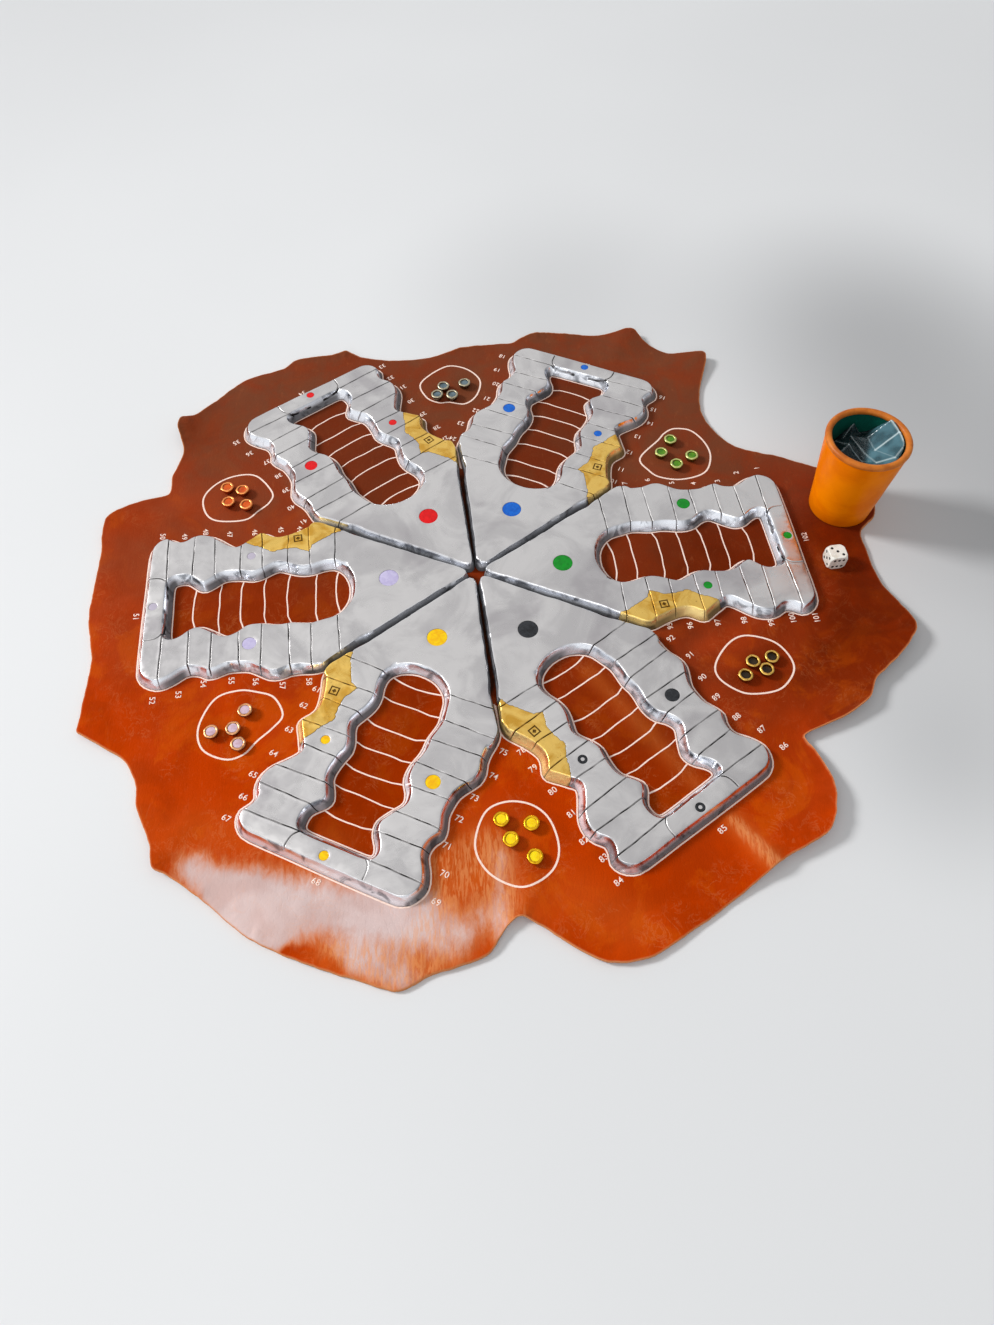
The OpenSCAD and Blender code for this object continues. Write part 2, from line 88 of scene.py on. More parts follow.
# The cuts' section: distance from the middle line, and share of the depth
GROOVE_SECTION = [(0, 1), (0.24, 0.85), (0.55, 0.15), (0.8, -0.12), (1.3, 0)]
CORNER_CUTS = [
    [(282, 29), (285, 33.5), (289, 35.8), (294, 36.4), (298.5, 36.4)],
    [(282, -25), (285, -28.5), (289, -30.6), (294, -31.3), (298.5, -31.3)],
]

# Dots of a plate: place, radius, and how high the resin swells. The small ones come last.
DOTS = [
    ((80, -2.5), 9.0, 0.25),
    ((206, 52), 6.25, 0.2),
    ((205.5, -45.5), 4.0, 0.15),
    ((293, 0.5), 4.0, 0.15),
]
SMALL_DOTS = 2
RESIN_SINK = 0.3
RING_HOLE = 1.7
POCKET_DEPTH = 1.2

# The punch mark in the brass
STAMP_AT = (162, -60.5)
STAMP_HALF = 4.0
STAMP_FRAME = 1.0
STAMP_CORE = 1.35
STAMP_TILT = 4
STAMP_DEPTH = 0.45

# Places of the numbers beside a plate, in its own frame, from the lower arm's inner end
# round the outer end to the upper arm's inner end. The innermost cell of each arm has none.
NUMBERS_AT = [
    (162, -80), (180, -82), (205, -82), (229, -83), (252, -89), (272, -86), (293, -89),
    (311, 2), (290, 93), (268, 90), (247, 82), (223, 82), (202, 86), (179, 93), (156, 92),
]
NUMBERS_OFF = {"green": (2.5, 2), "blue": (-3, 1), "black": (4, 3)}
CELLS = 17
CELLS_IN_ALL = 102
FIRST_CELL = 94
# The digits' height, and that height's share of the font's size
DIGIT_H = 5.3
DIGIT_SHARE = 0.73
# The printed lines: how thick the ink lies, how deep it reaches, the longest edge, and how far
# the lines in the windows bow out
INK_T = 0.14
INK_DEPTH = 0.06
LINE_STEP = 5
LINE_BOW = 2.1

# The counters, with the resin's level below the rim and how much it swells
COUNTER_COLOURS = ["red", "blue", "green", "black", "yellow", "lilac"]
COUNTER_H = 6.5
COUNTER_R = 6.5
BELLY_H = 4.4
FOOT_R = 4.7
WELL_R = 4.2
WELL_FLOOR_R = 3.4
WELL_FLOOR = 3.1
RIM_SLANT = 4
COUNTERS_EACH = 4
COUNTER_SIDES = 44
SLANT_TURN = 70
PLAYER_TURN = 25
FILLS = {
    "red": (0.75, -0.1), "blue": (1.1, -0.15), "green": (1.0, -0.1),
    "black": (2.3, -0.1), "yellow": (0.45, 0.15), "lilac": (0.25, 0.5),
}

# The die
DIE_SIDE = 16
DIE_TURN = 6
DIE_BALL_R = DIE_SIDE * math.sqrt(3) / 2 - 1.95
PIP_R = 1.3
PIP_SPACING = 4.1
PIP_DEPTH = 0.5

# The dice cup
CUP_H = 90
CUP_FOOT_R = 28.5
CUP_WALL = 2.2
LINING_T = 1.4
RIM_ROLL_R = 3.0
CUP_BASE_T = 3.0
COLLAR_H = 2.0
CUP_SIDES = 160

# The photograph's camera: its height and focal length in pixels, and its place and turn
PHOTO_H = 1325
FOCAL_PX = 900.08
SENSOR = 36
CAMERA_AT = (16.5, -502.5, 673.1)
CAMERA_ELEVATION = 58.615
CAMERA_ROLL = -1.794

rng = random.Random(7)


def srgb(r, g, b):
    """A colour given in 0 to 255 as the linear colour that a shader takes."""
    def linear(c):
        c /= 255
        return c / 12.92 if c <= 0.04045 else ((c + 0.055) / 1.055) ** 2.4
    return (linear(r), linear(g), linear(b), 1)


def smoothstep(low, high, x):
    t = np.clip((np.asarray(x, float) - low) / (high - low), 0, 1)
    return t * t * (3 - 2 * t)


def noise_at(points, size, seed=0.0):
    """Smooth noise from -1 to 1 at each point, with features of that size."""
    shift = Vector((seed * 17.3, seed * 5.1, seed * 11.7))
    return np.array([noise.noise(Vector(p) / size + shift) for p in points])


def with_z(xy, z):
    return np.column_stack([xy, np.broadcast_to(z, len(xy))])


def turned(points, degrees):
    """The points turned about the Z axis."""
    a = math.radians(degrees)
    out = np.array(points, float)
    x, y = out[:, 0].copy(), out[:, 1].copy()
    out[:, 0] = x * math.cos(a) - y * math.sin(a)
    out[:, 1] = x * math.sin(a) + y * math.cos(a)
    return out


def on_plate(points, k):
    """Points of plate k's own frame, turned to its place in the star."""
    return turned(points, STAR_TURN + PLATE_STEP * k)


# Materials


def tint(value):
    """What a colour socket takes, from a colour in 0 to 255, one plain value or a socket."""
    if isinstance(value, float):
        return (value, value, value, 1)
    return srgb(*value) if isinstance(value, tuple) else value


class Nodes:
    """A node tree, with a short call for each kind of node used here."""

    def __init__(self, tree):
        self.tree = tree

    def put(self, socket, value):
        if isinstance(value, bpy.types.NodeSocket):
            self.tree.links.new(value, socket)
        else:
            socket.default_value = value

    def node(self, kind, inputs, output=0, **settings):
        """An output of a new node, with its inputs by name or number, and its settings."""
        node = self.tree.nodes.new("ShaderNode" + kind)
        for name, value in settings.items():
            setattr(node, name, value)
        for name, value in inputs.items():
            self.put(node.inputs[name], value)
        return node.outputs[output]

    def math(self, operation, a, b=0.0):
        return self.node("Math", {0: a, 1: b}, operation=operation)

    def times(self, a, b):
        return self.math("MULTIPLY", a, b)

    def span(self, value, low, high, to_low=0.0, to_high=1.0):
        """A value that runs smoothly from to_low to to_high as another goes from low to high."""
        inputs = {"Value": value, "From Min": low, "From Max": high, "To Min": to_low,
                  "To Max": to_high}
        return self.node("MapRange", inputs, "Result", interpolation_type="SMOOTHSTEP")

    def mix(self, share, a, b):
        """A blend of two colours, by the sockets of the mix node that hold colours."""
        return self.node("Mix", {0: share, 6: tint(a), 7: tint(b)}, 2, data_type="RGBA")


class Shader(Nodes):
    """A material, whose tones and reliefs are laid on one after another over a first colour."""

    def __init__(self, name, colour):
        self.material = bpy.data.materials.new(name)
        self.material.use_nodes = True
        super().__init__(self.material.node_tree)
        self.place = self.node("TexCoord", {}, "Object")
        self.tone, self.relief = colour, None

    def attribute(self, name):
        return self.node("Attribute", {}, "Fac", attribute_name=name)

    def axis(self, name):
        return self.node("SeparateXYZ", {0: self.place}, name)

    def noise(self, size, detail=3.0, rough=0.55, twist=0.0, stretch=None):
        """Noise with features of that size in millimetres, stretched and turned if asked."""
        place = self.place
        if stretch:
            inputs = {"Vector": place, "Scale": stretch[:3],
                      "Rotation": (0, 0, math.radians(stretch[3]))}
            place = self.node("Mapping", inputs)
        inputs = {"Vector": place, "Scale": 1000 / size, "Detail": detail, "Roughness": rough,
                  "Distortion": twist}
        return self.node("TexNoise", inputs, "Fac")

    def patches(self, low, high, *noise, to=(0.0, 1.0)):
        """Noise that is cut off below low and above high."""
        return self.span(self.noise(*noise), low, high, *to)

    def cells(self, size, feature="F1"):
        inputs = {"Vector": self.place, "Scale": 1000 / size}
        return self.node("TexVoronoi", inputs, "Distance", feature=feature)

    def blob(self, centre, radius):
        """A soft round patch: 1 at its centre in the plane, 0 at its radius."""
        flat = self.node("Mapping", {"Vector": self.place, "Scale": (1, 1, 0)})
        middle = (centre[0] * MM, centre[1] * MM, 0)
        away = self.node("VectorMath", {0: flat, 1: middle}, "Value", operation="DISTANCE")
        return self.span(away, 0.0, radius * MM, 1.0, 0.0)

    def over(self, share, colour, strength=None):
        if strength is not None:
            share = self.times(share, strength)
        self.tone = self.mix(share, self.tone, colour)

    def bump(self, height, depth, strength):
        """Relief of that depth in millimetres, over the relief so far."""
        inputs = {"Height": height, "Distance": depth * MM, "Strength": strength}
        if self.relief is not None:
            inputs["Normal"] = self.relief
        self.relief = self.node("Bump", inputs)

    def done(self, rough, **inputs):
        """The material, with its roughness and other inputs of its surface by name."""
        inputs.update({"Base Color": tint(self.tone), "Roughness": rough})
        if self.relief is not None:
            inputs["Normal"] = self.relief
        for name, value in inputs.items():
            self.put(self.tree.nodes["Principled BSDF"].inputs[name.replace("_", " ")], value)
        return self.material


def cast_metal():
    """Satin cast aluminium: cloudy flat tops, polished edges with painted bright and dark
    reflections, dirty cuts, and painted shade at the walls' feet, in the seams, on walls facing away
    from the light and in the pockets.
    """
    s = Shader("cast_aluminium", (209, 206, 205))
    polish, grime = s.attribute("polish"), s.attribute("grime")
    s.over(s.patches(0.4, 0.62, 55, 5, 0.62, 0.8), (190, 187, 187))
    s.over(s.patches(0.56, 0.68, 70, 3, 0.5, 0.5), (160, 155, 158), 0.5)
    s.over(s.patches(0.8, 0.86, 3.2, 2, 0.5), (120, 120, 124), 0.3)
    # Painted reflections on the polished edges: bright, with darker blotches
    shade = s.times(s.patches(0.5, 0.66, 15, 3, 0.55, 0.8), 0.75)
    s.over(polish, s.mix(shade, (242, 245, 252), (98, 100, 108)))
    # Dirty cuts and a dark line along the tear, with painted shade at the feet, in the seams, on
    # walls facing away from the light and on the pockets' rims
    s.over(grime, (38, 35, 34))
    s.bump(s.noise(1.3, 3, 0.6), 0.02, 0.12)
    s.bump(s.noise(6, 3, 0.6, 0.4), 0.35, 0.12)
    satin = s.patches(0.35, 0.65, 14, 4, 0.6, to=(0.26, 0.36))
    rough = s.mix(polish, satin, s.patches(0.4, 0.7, 9, 3, 0.6, to=(0.1, 0.2)))
    bare = s.span(s.attribute("steep"), 0.0, 1.0, 1.0, 0.5)
    return s.done(s.mix(grime, rough, 0.8), Metallic=bare)


def brass_inlay():
    """Yellow brass with dark pits, dirty cuts, painted shade at the foot, in the seams and in the
    punch mark, and edges polished by hand, paler there with a painted highlight.
    """
    s = Shader("inlay_brass", (232, 192, 102))
    grime = s.attribute("grime")
    s.over(s.patches(0.4, 0.66, 17, 4, 0.6, 0.8), (206, 156, 62))
    # Paler bare brass on the polished edges, with a painted highlight
    s.over(s.attribute("polish"), (252, 222, 148))
    s.over(s.patches(0.7, 0.76, 2.4, 2, 0.5), (112, 66, 22), 0.7)
    # Dirty cuts, with painted shade at the foot, in the seams, on walls facing away from the light
    # and in the punch mark
    s.over(grime, (58, 34, 16))
    s.bump(s.noise(1.6, 3, 0.6), 0.08, 0.5)
    s.bump(s.noise(5, 2, 0.5, 0.5), 0.5, 0.3)
    rough = s.mix(grime, s.patches(0.35, 0.65, 8, 4, 0.6, to=(0.24, 0.4)), 0.8)
    return s.done(rough, Metallic=s.span(s.attribute("steep"), 0.0, 1.0, 1.0, 0.6))


# The counters' metal takes a cast from each player's colour: its rim, paler as bare brass and with
# painted light on the top, and its side, darker with painted shade
COUNTER_TONES = {
    "red": ((246, 158, 92), (206, 108, 44)), "blue": ((186, 176, 150), (118, 110, 90)),
    "green": ((204, 208, 132), (146, 150, 66)), "black": ((222, 180, 92), (150, 104, 38)),
    "yellow": ((230, 176, 34), (190, 128, 12)), "lilac": ((216, 158, 112), (152, 96, 54)),
}


def counter_brass(colour):
    """Turned and filed brass, tarnished outside, bare and paler on the rim, where light on the top is
    painted, with painted shade on the side, and darker at the foot and in the well.
    """
    pale, deep = COUNTER_TONES[colour]
    s = Shader("counter_brass_" + colour, deep)
    rim = s.attribute("polish")
    tarnish = s.patches(0.38, 0.66, 3.4, 4, 0.6, 0.5)
    s.over(tarnish, tuple(c * 0.72 for c in deep))
    # The rim paler as bare brass, with painted light on its top
    s.over(rim, s.mix(s.patches(0.5, 0.7, 1.4, 3, 0.6), pale, deep))
    # Darker at the foot and down in the well
    s.over(s.attribute("grime"), (62, 34, 12))
    s.bump(s.noise(0.7, 3, 0.6), 0.04, 0.5)
    s.bump(s.noise(2.2, 2, 0.5), 0.3, 0.4)
    return s.done(s.mix(rim, s.span(tarnish, 0.0, 1.0, 0.26, 0.46), 0.3), Metallic=1.0)


def resin(name, light, dark, rough=0.14):
    """Cast coloured resin: glossy, a little uneven in tone, with fine dust and scratches."""
    s = Shader(name, light)
    s.over(s.patches(0.35, 0.7, 5, 3, 0.6, 0.5), dark)
    s.over(s.patches(0.68, 0.76, 0.8, 2, 0.5), (230, 226, 220), 0.1)
    s.over(s.attribute("worn"), (186, 178, 188))
    s.bump(s.noise(2.5, 3, 0.6), 0.06, 0.4)
    gloss = s.patches(0.3, 0.7, 2.2, 4, 0.65, to=(rough * 0.7, rough * 1.7))
    return s.done(gloss, Specular_IOR_Level=0.25)


def hide_leather():
    """Burnt orange leather, browner towards the right and, as painted shade, towards the back,
    with grain, painted shade in the windows, seams and middle, and a painted sheen and
    painted highlight streaks where it bends up and wrinkles."""
    s = Shader("hide_leather", (186, 56, 0))
    drift = s.patches(0.3, 0.7, 130, 3, 0.6, to=(-0.07, 0.07))
    # Painted shade: darker and browner towards the back
    slant = s.math("ADD", s.axis("Y"), s.times(s.axis("X"), 0.22))
    back = s.span(s.math("ADD", slant, drift), -0.27, 0.2)
    s.over(back, (112, 60, 38))
    right = s.span(s.math("ADD", s.axis("X"), drift), 0.14, 0.33)
    middle = s.times(s.span(s.axis("Y"), -0.25, -0.08), s.span(s.axis("Y"), 0.16, 0.03))
    s.over(s.times(right, middle), (96, 24, 0), 0.9)
    s.over(s.patches(0.36, 0.68, 46, 5, 0.62, 0.7), (138, 40, 2), 0.4)
    front = s.span(back, 0.0, 1.0, 1.0, 0.1)
    golden = s.times(s.patches(0.5, 0.64, 60, 5, 0.65, 0.8), 0.3)
    s.over(s.times(golden, front), (210, 92, 8))
    shade, wrinkle_sheen, cut = (s.attribute(name) for name in ("shade", "wrinkle_sheen", "cut"))
    # Painted shade in the windows, along the seams and in the star's middle
    s.over(shade, (88, 24, 0))
    s.over(s.span(shade, 0.5, 0.9), (38, 20, 12))
    # A painted sheen where the leather is wrinkled
    s.over(wrinkle_sheen, (206, 104, 40), 0.5)
    # A painted sheen on the lobes that bend up, pale where it is strongest
    torn = s.noise(11, 6, 0.7, 0.5, (1.7, 0.6, 1, -8))
    cover = s.math("ADD", s.attribute("sheen_patch"), s.times(s.math("SUBTRACT", torn, 0.5), 0.8))
    s.over(s.span(cover, 0.05, 0.6, 0.0, 0.9), (206, 122, 74))
    pale = s.mix(s.patches(0.4, 0.62, 44, 3, 0.5, 0.3), (214, 190, 186), (204, 174, 168))
    s.over(s.span(cover, 0.3, 0.95), pale)
    folds = s.noise(4.5, 4, 0.62, 0.6, (2.3, 0.35, 1, -8))
    # Painted highlights: streaks where the leather is wrinkled, and fine glints at the front
    streak_highlight = s.times(s.span(folds, 0.43, 0.6), s.span(wrinkle_sheen, 0.45, 1.0, 0.0, 0.5))
    veins = s.math("ABSOLUTE", s.math("SUBTRACT", s.noise(17, 6, 0.72, 1.0), 0.5))
    glint = s.times(s.span(veins, 0.0, 0.025, 0.16, 0.0), front)
    glint = s.times(glint, s.patches(0.46, 0.62, 38, 4, 0.6))
    s.over(s.math("MAXIMUM", streak_highlight, glint), (230, 152, 94))
    s.over(cut, (204, 132, 84))
    s.bump(s.cells(1.25), 0.1, 0.5)
    s.bump(s.span(s.cells(5.5, "DISTANCE_TO_EDGE"), 0.0, 0.12), 0.12, 0.4)
    s.bump(folds, 0.5, 0.35)
    rough = s.mix(cut, s.patches(0.3, 0.7, 16, 5, 0.65, to=(0.3, 0.5)), 0.85)
    return s.done(rough, Specular_IOR_Level=0.04, Specular_Tint=srgb(255, 150, 60))


def printed_ink():
    """Pinkish white printing ink, a little thin in places."""
    s = Shader("printed_ink", (250, 222, 208))
    s.over(s.patches(0.5, 0.72, 2.6, 4, 0.65), (216, 158, 128), 0.4)
    s.bump(s.noise(0.9, 3, 0.6), 0.04, 0.5)
    return s.done(0.5)


def die_white():
    s = Shader("die_white", (240, 238, 230))
    s.over(s.patches(0.4, 0.7, 5, 4, 0.6), (222, 216, 202))
    s.bump(s.noise(1.2, 3, 0.6), 0.03, 0.4)
    return s.done(s.patches(0.3, 0.7, 3, 4, 0.6, to=(0.22, 0.38)), Coat_Weight=0.3)


def die_black():
    s = Shader("die_black", (18, 17, 17))
    s.over(s.patches(0.45, 0.7, 0.9, 3, 0.6), (48, 46, 45))
    s.bump(s.noise(0.6), 0.03, 0.5)
    return s.done(0.4)


def cup_leather():
    """Smooth orange leather with a fine grain, faint lighter worn patches, a dark seam and painted
    shade towards the foot.
    """
    s = Shader("cup_leather", (240, 130, 0))
    s.over(s.patches(0.36, 0.68, 30, 5, 0.62, 0.5), (228, 114, 0))
    s.over(s.patches(0.56, 0.72, 6, 6, 0.7, 0.8), (246, 156, 40), 0.2)
    # Painted shade, darker towards the foot
    s.over(s.span(s.axis("Z"), 0.003, 0.02, 0.4, 0.0), (176, 76, 4))
    s.over(s.attribute("grime"), (104, 44, 10))
    s.bump(s.cells(0.9), 0.06, 0.4)
    s.bump(s.noise(4, 5, 0.65), 0.2, 0.3)
    rough = s.patches(0.3, 0.7, 9, 4, 0.6, to=(0.3, 0.46))
    return s.done(rough, Specular_IOR_Level=0.06, Specular_Tint=srgb(255, 180, 80))


def binding_leather():
    s = Shader("cup_binding_leather", (206, 118, 40))
    s.over(s.patches(0.36, 0.68, 16, 4, 0.6, 0.4), (178, 92, 24))
    # Painted shade where the roll tucks against the wall
    s.over(s.attribute("grime"), (88, 44, 18))
    s.bump(s.cells(0.8), 0.06, 0.5)
    s.bump(s.noise(3, 5, 0.65), 0.1, 0.4)
    return s.done(s.patches(0.3, 0.7, 5, 4, 0.6, to=(0.34, 0.5)), Specular_IOR_Level=0.2)


def cup_felt():
    s = Shader("cup_felt", (0, 92, 76))
    fibre = s.noise(1.2, 6, 0.75, 1.5)
    s.over(s.span(fibre, 0.3, 0.7), (6, 58, 50))
    s.bump(fibre, 0.3, 0.6)
    return s.done(0.9, Specular_IOR_Level=0.1)


def clear_film():
    """Thin clear wrapping film with its light and shade painted: bluish on the facets painted as lit,
    dark with pale smoky wisps on the rest, and painted highlights along its creases."""
    s = Shader("clear_film", (30, 42, 46))
    crease_highlight, lit = s.attribute("polish"), s.attribute("lit")
    s.over(lit, s.mix(s.patches(0.35, 0.65, 12, 1, 0.5), (84, 126, 138), (54, 88, 98)))
    smoke = s.span(lit, 0.0, 1.0, 0.35, 0.0)
    s.over(s.patches(0.52, 0.68, 5, 5, 0.7, 2.0), (150, 168, 172), smoke)
    # Painted highlights along the creases
    s.over(crease_highlight, (214, 232, 234))
    s.bump(s.noise(9, 2, 0.5), 0.1, 0.2)
    cover = s.math("MAXIMUM", s.span(lit, 0.0, 1.0, 0.5, 0.8), crease_highlight)
    return s.done(0.14, Alpha=cover, Specular_IOR_Level=0.3)


# The resins on the plates and in the counters: light and dark, and how rough the black ones are
PLATE_RESINS = {
    "green": ((0, 142, 30), (0, 118, 24)), "blue": ((10, 104, 206), (4, 84, 182)),
    "red": ((228, 10, 16), (202, 2, 8)), "lilac": ((200, 192, 224), (184, 174, 212)),
    "yellow": ((250, 208, 0), (240, 176, 0)), "black": ((46, 48, 52), (26, 27, 30), 0.24),
}
COUNTER_RESINS = {
    "green": ((92, 146, 20), (56, 116, 10)), "blue": ((104, 122, 130), (76, 94, 102)),
    "red": ((220, 92, 16), (190, 66, 8)), "lilac": ((214, 190, 206), (196, 160, 172)),
    "yellow": ((252, 224, 10), (240, 194, 0)), "black": ((48, 34, 12), (26, 18, 6), 0.3),
}


# Outlines, read from the frame


def key(point):
    return tuple(int(round(c * 1000)) for c in point[:2])


def flat_loops(node, z):
    """The closed outlines of a node's flat face at height z, each run counter-clockwise."""
    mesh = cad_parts[node].data
    points = np.array([v.co for v in mesh.vertices]) / MM
    after = {}
    for face in mesh.polygons:
        corners = [points[i] for i in face.vertices]
        if all(abs(c[2] - z) < 0.002 for c in corners):
            for a, b in zip(corners, corners[1:] + corners[:1]):
                after[(key(a), key(b))] = (a[:2], b[:2])
    free = {a: (b, pair[0]) for (a, b), pair in after.items() if (b, a) not in after}
    loops = []
    while free:
        here, loop = next(iter(free)), []
        while here in free:
            following, place = free.pop(here)
            loop.append(place)
            here = following
        loop = np.array(loop)
        loops.append(loop if area(loop) > 0 else loop[::-1])
    return sorted(loops, key=area, reverse=True)


def area(loop):
    x, y = loop[:, 0], loop[:, 1]
    return float((x * np.roll(y, -1) - np.roll(x, -1) * y).sum() / 2)


def smooth_points(points, step, closed=True):
    """Points about a step apart on a smooth curve through the points, and the place among
    them of each point given."""
    n = len(points)
    out, places = [], []
    for i in range(n if closed else n - 1):
        around = [i - 1, i, i + 1, i + 2]
        a, b, c, d = [points[j % n] if closed else points[min(max(j, 0), n - 1)] for j in around]
        count = max(1, int(round(np.linalg.norm(c - b) / step)))
        places.append(len(out))
        for t in np.arange(count) / count:
            out.append((2 * b + (c - a) * t + (2 * a - 5 * b + 4 * c - d) * t * t
                        + (3 * b - a - 3 * c + d) * t ** 3) / 2)
    if not closed:
        places.append(len(out))
        out.append(points[-1])
    return np.array(out), places


def normals(path, closed=True):
    """The way out to the right of a path at each of its points."""
    if closed:
        along = np.roll(path, -1, 0) - np.roll(path, 1, 0)
    else:
        along = np.gradient(path, axis=0)
    along /= np.linalg.norm(along, axis=1)[:, None]
    return np.column_stack([along[:, 1], -along[:, 0]])


def point_tree(points):
    tree = kdtree.KDTree(len(points))
    for i, p in enumerate(points):
        tree.insert((p[0], p[1], 0), i)
    tree.balance()
    return tree


class Edges:
    """Line segments in the plane, with what is nearest to a point among them."""

    def __init__(self, paths):
        self.start = np.concatenate([p[:-1] for p, _ in paths])
        self.end = np.concatenate([p[1:] for p, _ in paths])
        self.out = np.concatenate([n[:-1] for _, n in paths])
        self.out_next = np.concatenate([n[1:] for _, n in paths])
        self.tree = point_tree((self.start + self.end) / 2)

    def nearest(self, xy, tries=4):
        """Distance, segment and way out, for each point."""
        near = np.array([[hit[1] for hit in self.tree.find_n((p[0], p[1], 0), tries)]
                         for p in xy])
        a, d = self.start[near], self.end[near] - self.start[near]
        t = ((xy[:, None] - a) * d).sum(2) / np.maximum((d * d).sum(2), 1e-12)
        t = np.clip(t, 0, 1)
        gap = np.linalg.norm(xy[:, None] - a - t[:, :, None] * d, axis=2)
        best = np.arange(len(xy)), gap.argmin(1)
        segment, t = near[best], t[best][:, None]
        out = self.out[segment] * (1 - t) + self.out_next[segment] * t
        return gap[best], segment, out


def closed_path(loop, way_out=1):
    again = np.concatenate([loop, loop[:1]])
    n = normals(loop)
    return again, way_out * np.concatenate([n, n[:1]])


def inside(xy, loops):
    """Whether each point lies in the area of the loops, where a loop in a loop is a hole."""
    within = np.zeros(len(xy), bool)
    x, y = xy[:, 0], xy[:, 1]
    for loop in loops:
        for (ax, ay), (bx, by) in zip(loop, np.roll(loop, -1, 0)):
            if ay != by:
                crosses = (ay > y) != (by > y)
                within ^= crosses & (x < (bx - ax) * (y - ay) / (by - ay) + ax)
    return within


def runs(points, keep):
    """The stretches of a path whose points are all kept."""
    out, run = [], []
    for p, good in zip(points, keep):
        if good:
            run.append(p)
        elif run:
            out.append(run)
            run = []
    return [r for r in out + [run] if len(r) > 1]


def triangulated(loops, lines, spots):
    """Points and triangles over the area of the loops, with each loop and line kept as
    edges and each spot as a point."""
    points, edges = [], []
    for closed, paths in ((True, loops), (False, lines)):
        for path in paths:
            first = len(points)
            points += [Vector((p[0], p[1])) for p in path]
            edges += [(i, i + 1) for i in range(first, len(points) - 1)]
            if closed:
                edges.append((len(points) - 1, first))
    points += [Vector((p[0], p[1])) for p in spots]
    found = delaunay_2d_cdt(points, edges, [], 0, 1e-4)
    xy, faces = np.array([tuple(p) for p in found[0]]), np.array(found[2])
    faces = faces[inside(xy[faces].mean(1), loops)]
    a, b, c = (xy[faces[:, i]] for i in range(3))
    turn = (b[:, 0] - a[:, 0]) * (c[:, 1] - a[:, 1]) - (b[:, 1] - a[:, 1]) * (c[:, 0] - a[:, 0])
    faces[turn < 0] = faces[turn < 0][:, ::-1]
    faces = faces[np.abs(turn) > 1e-9]
    used = np.unique(faces)
    renumber = np.full(len(xy), -1)
    renumber[used] = np.arange(len(used))
    return xy[used], renumber[faces]


def rim_loops(faces):
    """The closed runs of edges that only one triangle has, with the area on their left."""
    edges = {(int(a), int(b)) for f in faces for a, b in ((f[0], f[1]), (f[1], f[2]), (f[2], f[0]))}
    after = {a: b for a, b in edges if (b, a) not in edges}
    loops = []
    while after:
        here, loop = next(iter(after)), []
        while here in after:
            loop.append(here)
            here = after.pop(here)
        loops.append(loop)
    return loops


class Slab:
    """A flat-bottomed solid over a triangulated outline: its top, its wall in rows, and its
    underside. Its shape in the plane is made once, and its heights are set for each copy."""

    def __init__(self, loops, lines, spots, wall_rows):
        self.top, self.faces = triangulated(loops, lines, spots)
        rims = rim_loops(self.faces)
        self.quads, self.wall_from, self.wall_share = [], [], []
        count = len(self.top)
        lowest = {}
        for rim in rims:
            above = rim
            for share in wall_rows:
                below = list(range(count, count + len(rim)))
                count += len(rim)
                self.wall_from += rim
                self.wall_share += [share] * len(rim)
                for i in range(len(rim)):
                    j = (i + 1) % len(rim)
                    self.quads.append((below[i], below[j], above[j], above[i]))
                above = below
            lowest.update({key(self.top[a]): b for a, b in zip(rim, above)})
        floor_points, floor_faces = triangulated([self.top[rim] for rim in rims], [], [])
        place = [lowest[key(p)] for p in floor_points]
        self.floor = [tuple(place[i] for i in reversed(f)) for f in floor_faces]
        self.wall_from, self.wall_share = np.array(self.wall_from), np.array(self.wall_share)
        self.xy = np.concatenate([self.top, self.top[self.wall_from]])

    def solid(self, top_z, low_z):
        """All the points, for the top's heights and the underside's."""
        wall = top_z[self.wall_from] * (1 - self.wall_share) + low_z * self.wall_share
        points = np.column_stack([self.xy, np.concatenate([top_z, wall])])
        faces = [tuple(f) for f in self.faces.tolist()] + self.quads + self.floor
        return points, faces


# Pieces


def linked(name, data):
    thing = bpy.data.objects.new(name, data)
    bpy.context.scene.collection.objects.link(thing)
    return thing


def make_piece(name, points, faces, material, body, replaced=(), slot=None, values=None,
               sharp=40, weld=None):
    """A mesh piece in metres that rides on a body, with values for its points by name. Points
    that lie closer than weld are joined, such as those on a lathe's axis. The slot argument is not
    used."""
    mesh = bpy.data.meshes.new(name)
    mesh.from_pydata((np.asarray(points) * MM).tolist(), [], faces)
    for attribute, numbers in (values or {}).items():
        layer = mesh.attributes.new(attribute, "FLOAT", "POINT")
        layer.data.foreach_set("value", np.asarray(numbers, np.float32))
    mesh.shade_smooth()
    mesh.set_sharp_from_angle(angle=math.radians(sharp))
    mesh.materials.append(material)
    piece = linked(name, mesh)
    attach(piece, body)
    if replaced:
        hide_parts(*replaced)
    if weld:
        work = bmesh.new()
        work.from_mesh(mesh)
        bmesh.ops.remove_doubles(work, verts=work.verts, dist=weld)
        bmesh.ops.recalc_face_normals(work, faces=work.faces)
        work.to_mesh(mesh)
        work.free()
    return piece


def joined(parts):
    """The points and the faces of several parts as one."""
    first, faces = 0, []
    for points, own in parts:
        faces += [tuple(i + first for i in face) for face in own]
        first += len(points)
    return np.concatenate([points for points, _ in parts]), faces


def grid(low, high, step):
    """Points of a square grid in the plane between two corners."""
    x, y = np.meshgrid(np.arange(low[0], high[0], step), np.arange(low[1], high[1], step))
    return np.column_stack([x.ravel(), y.ravel()])


def jitter(count, far):
    """A random step in the plane for each of that many points."""
    return np.array([[rng.uniform(-far, far), rng.uniform(-far, far)] for _ in range(count)])


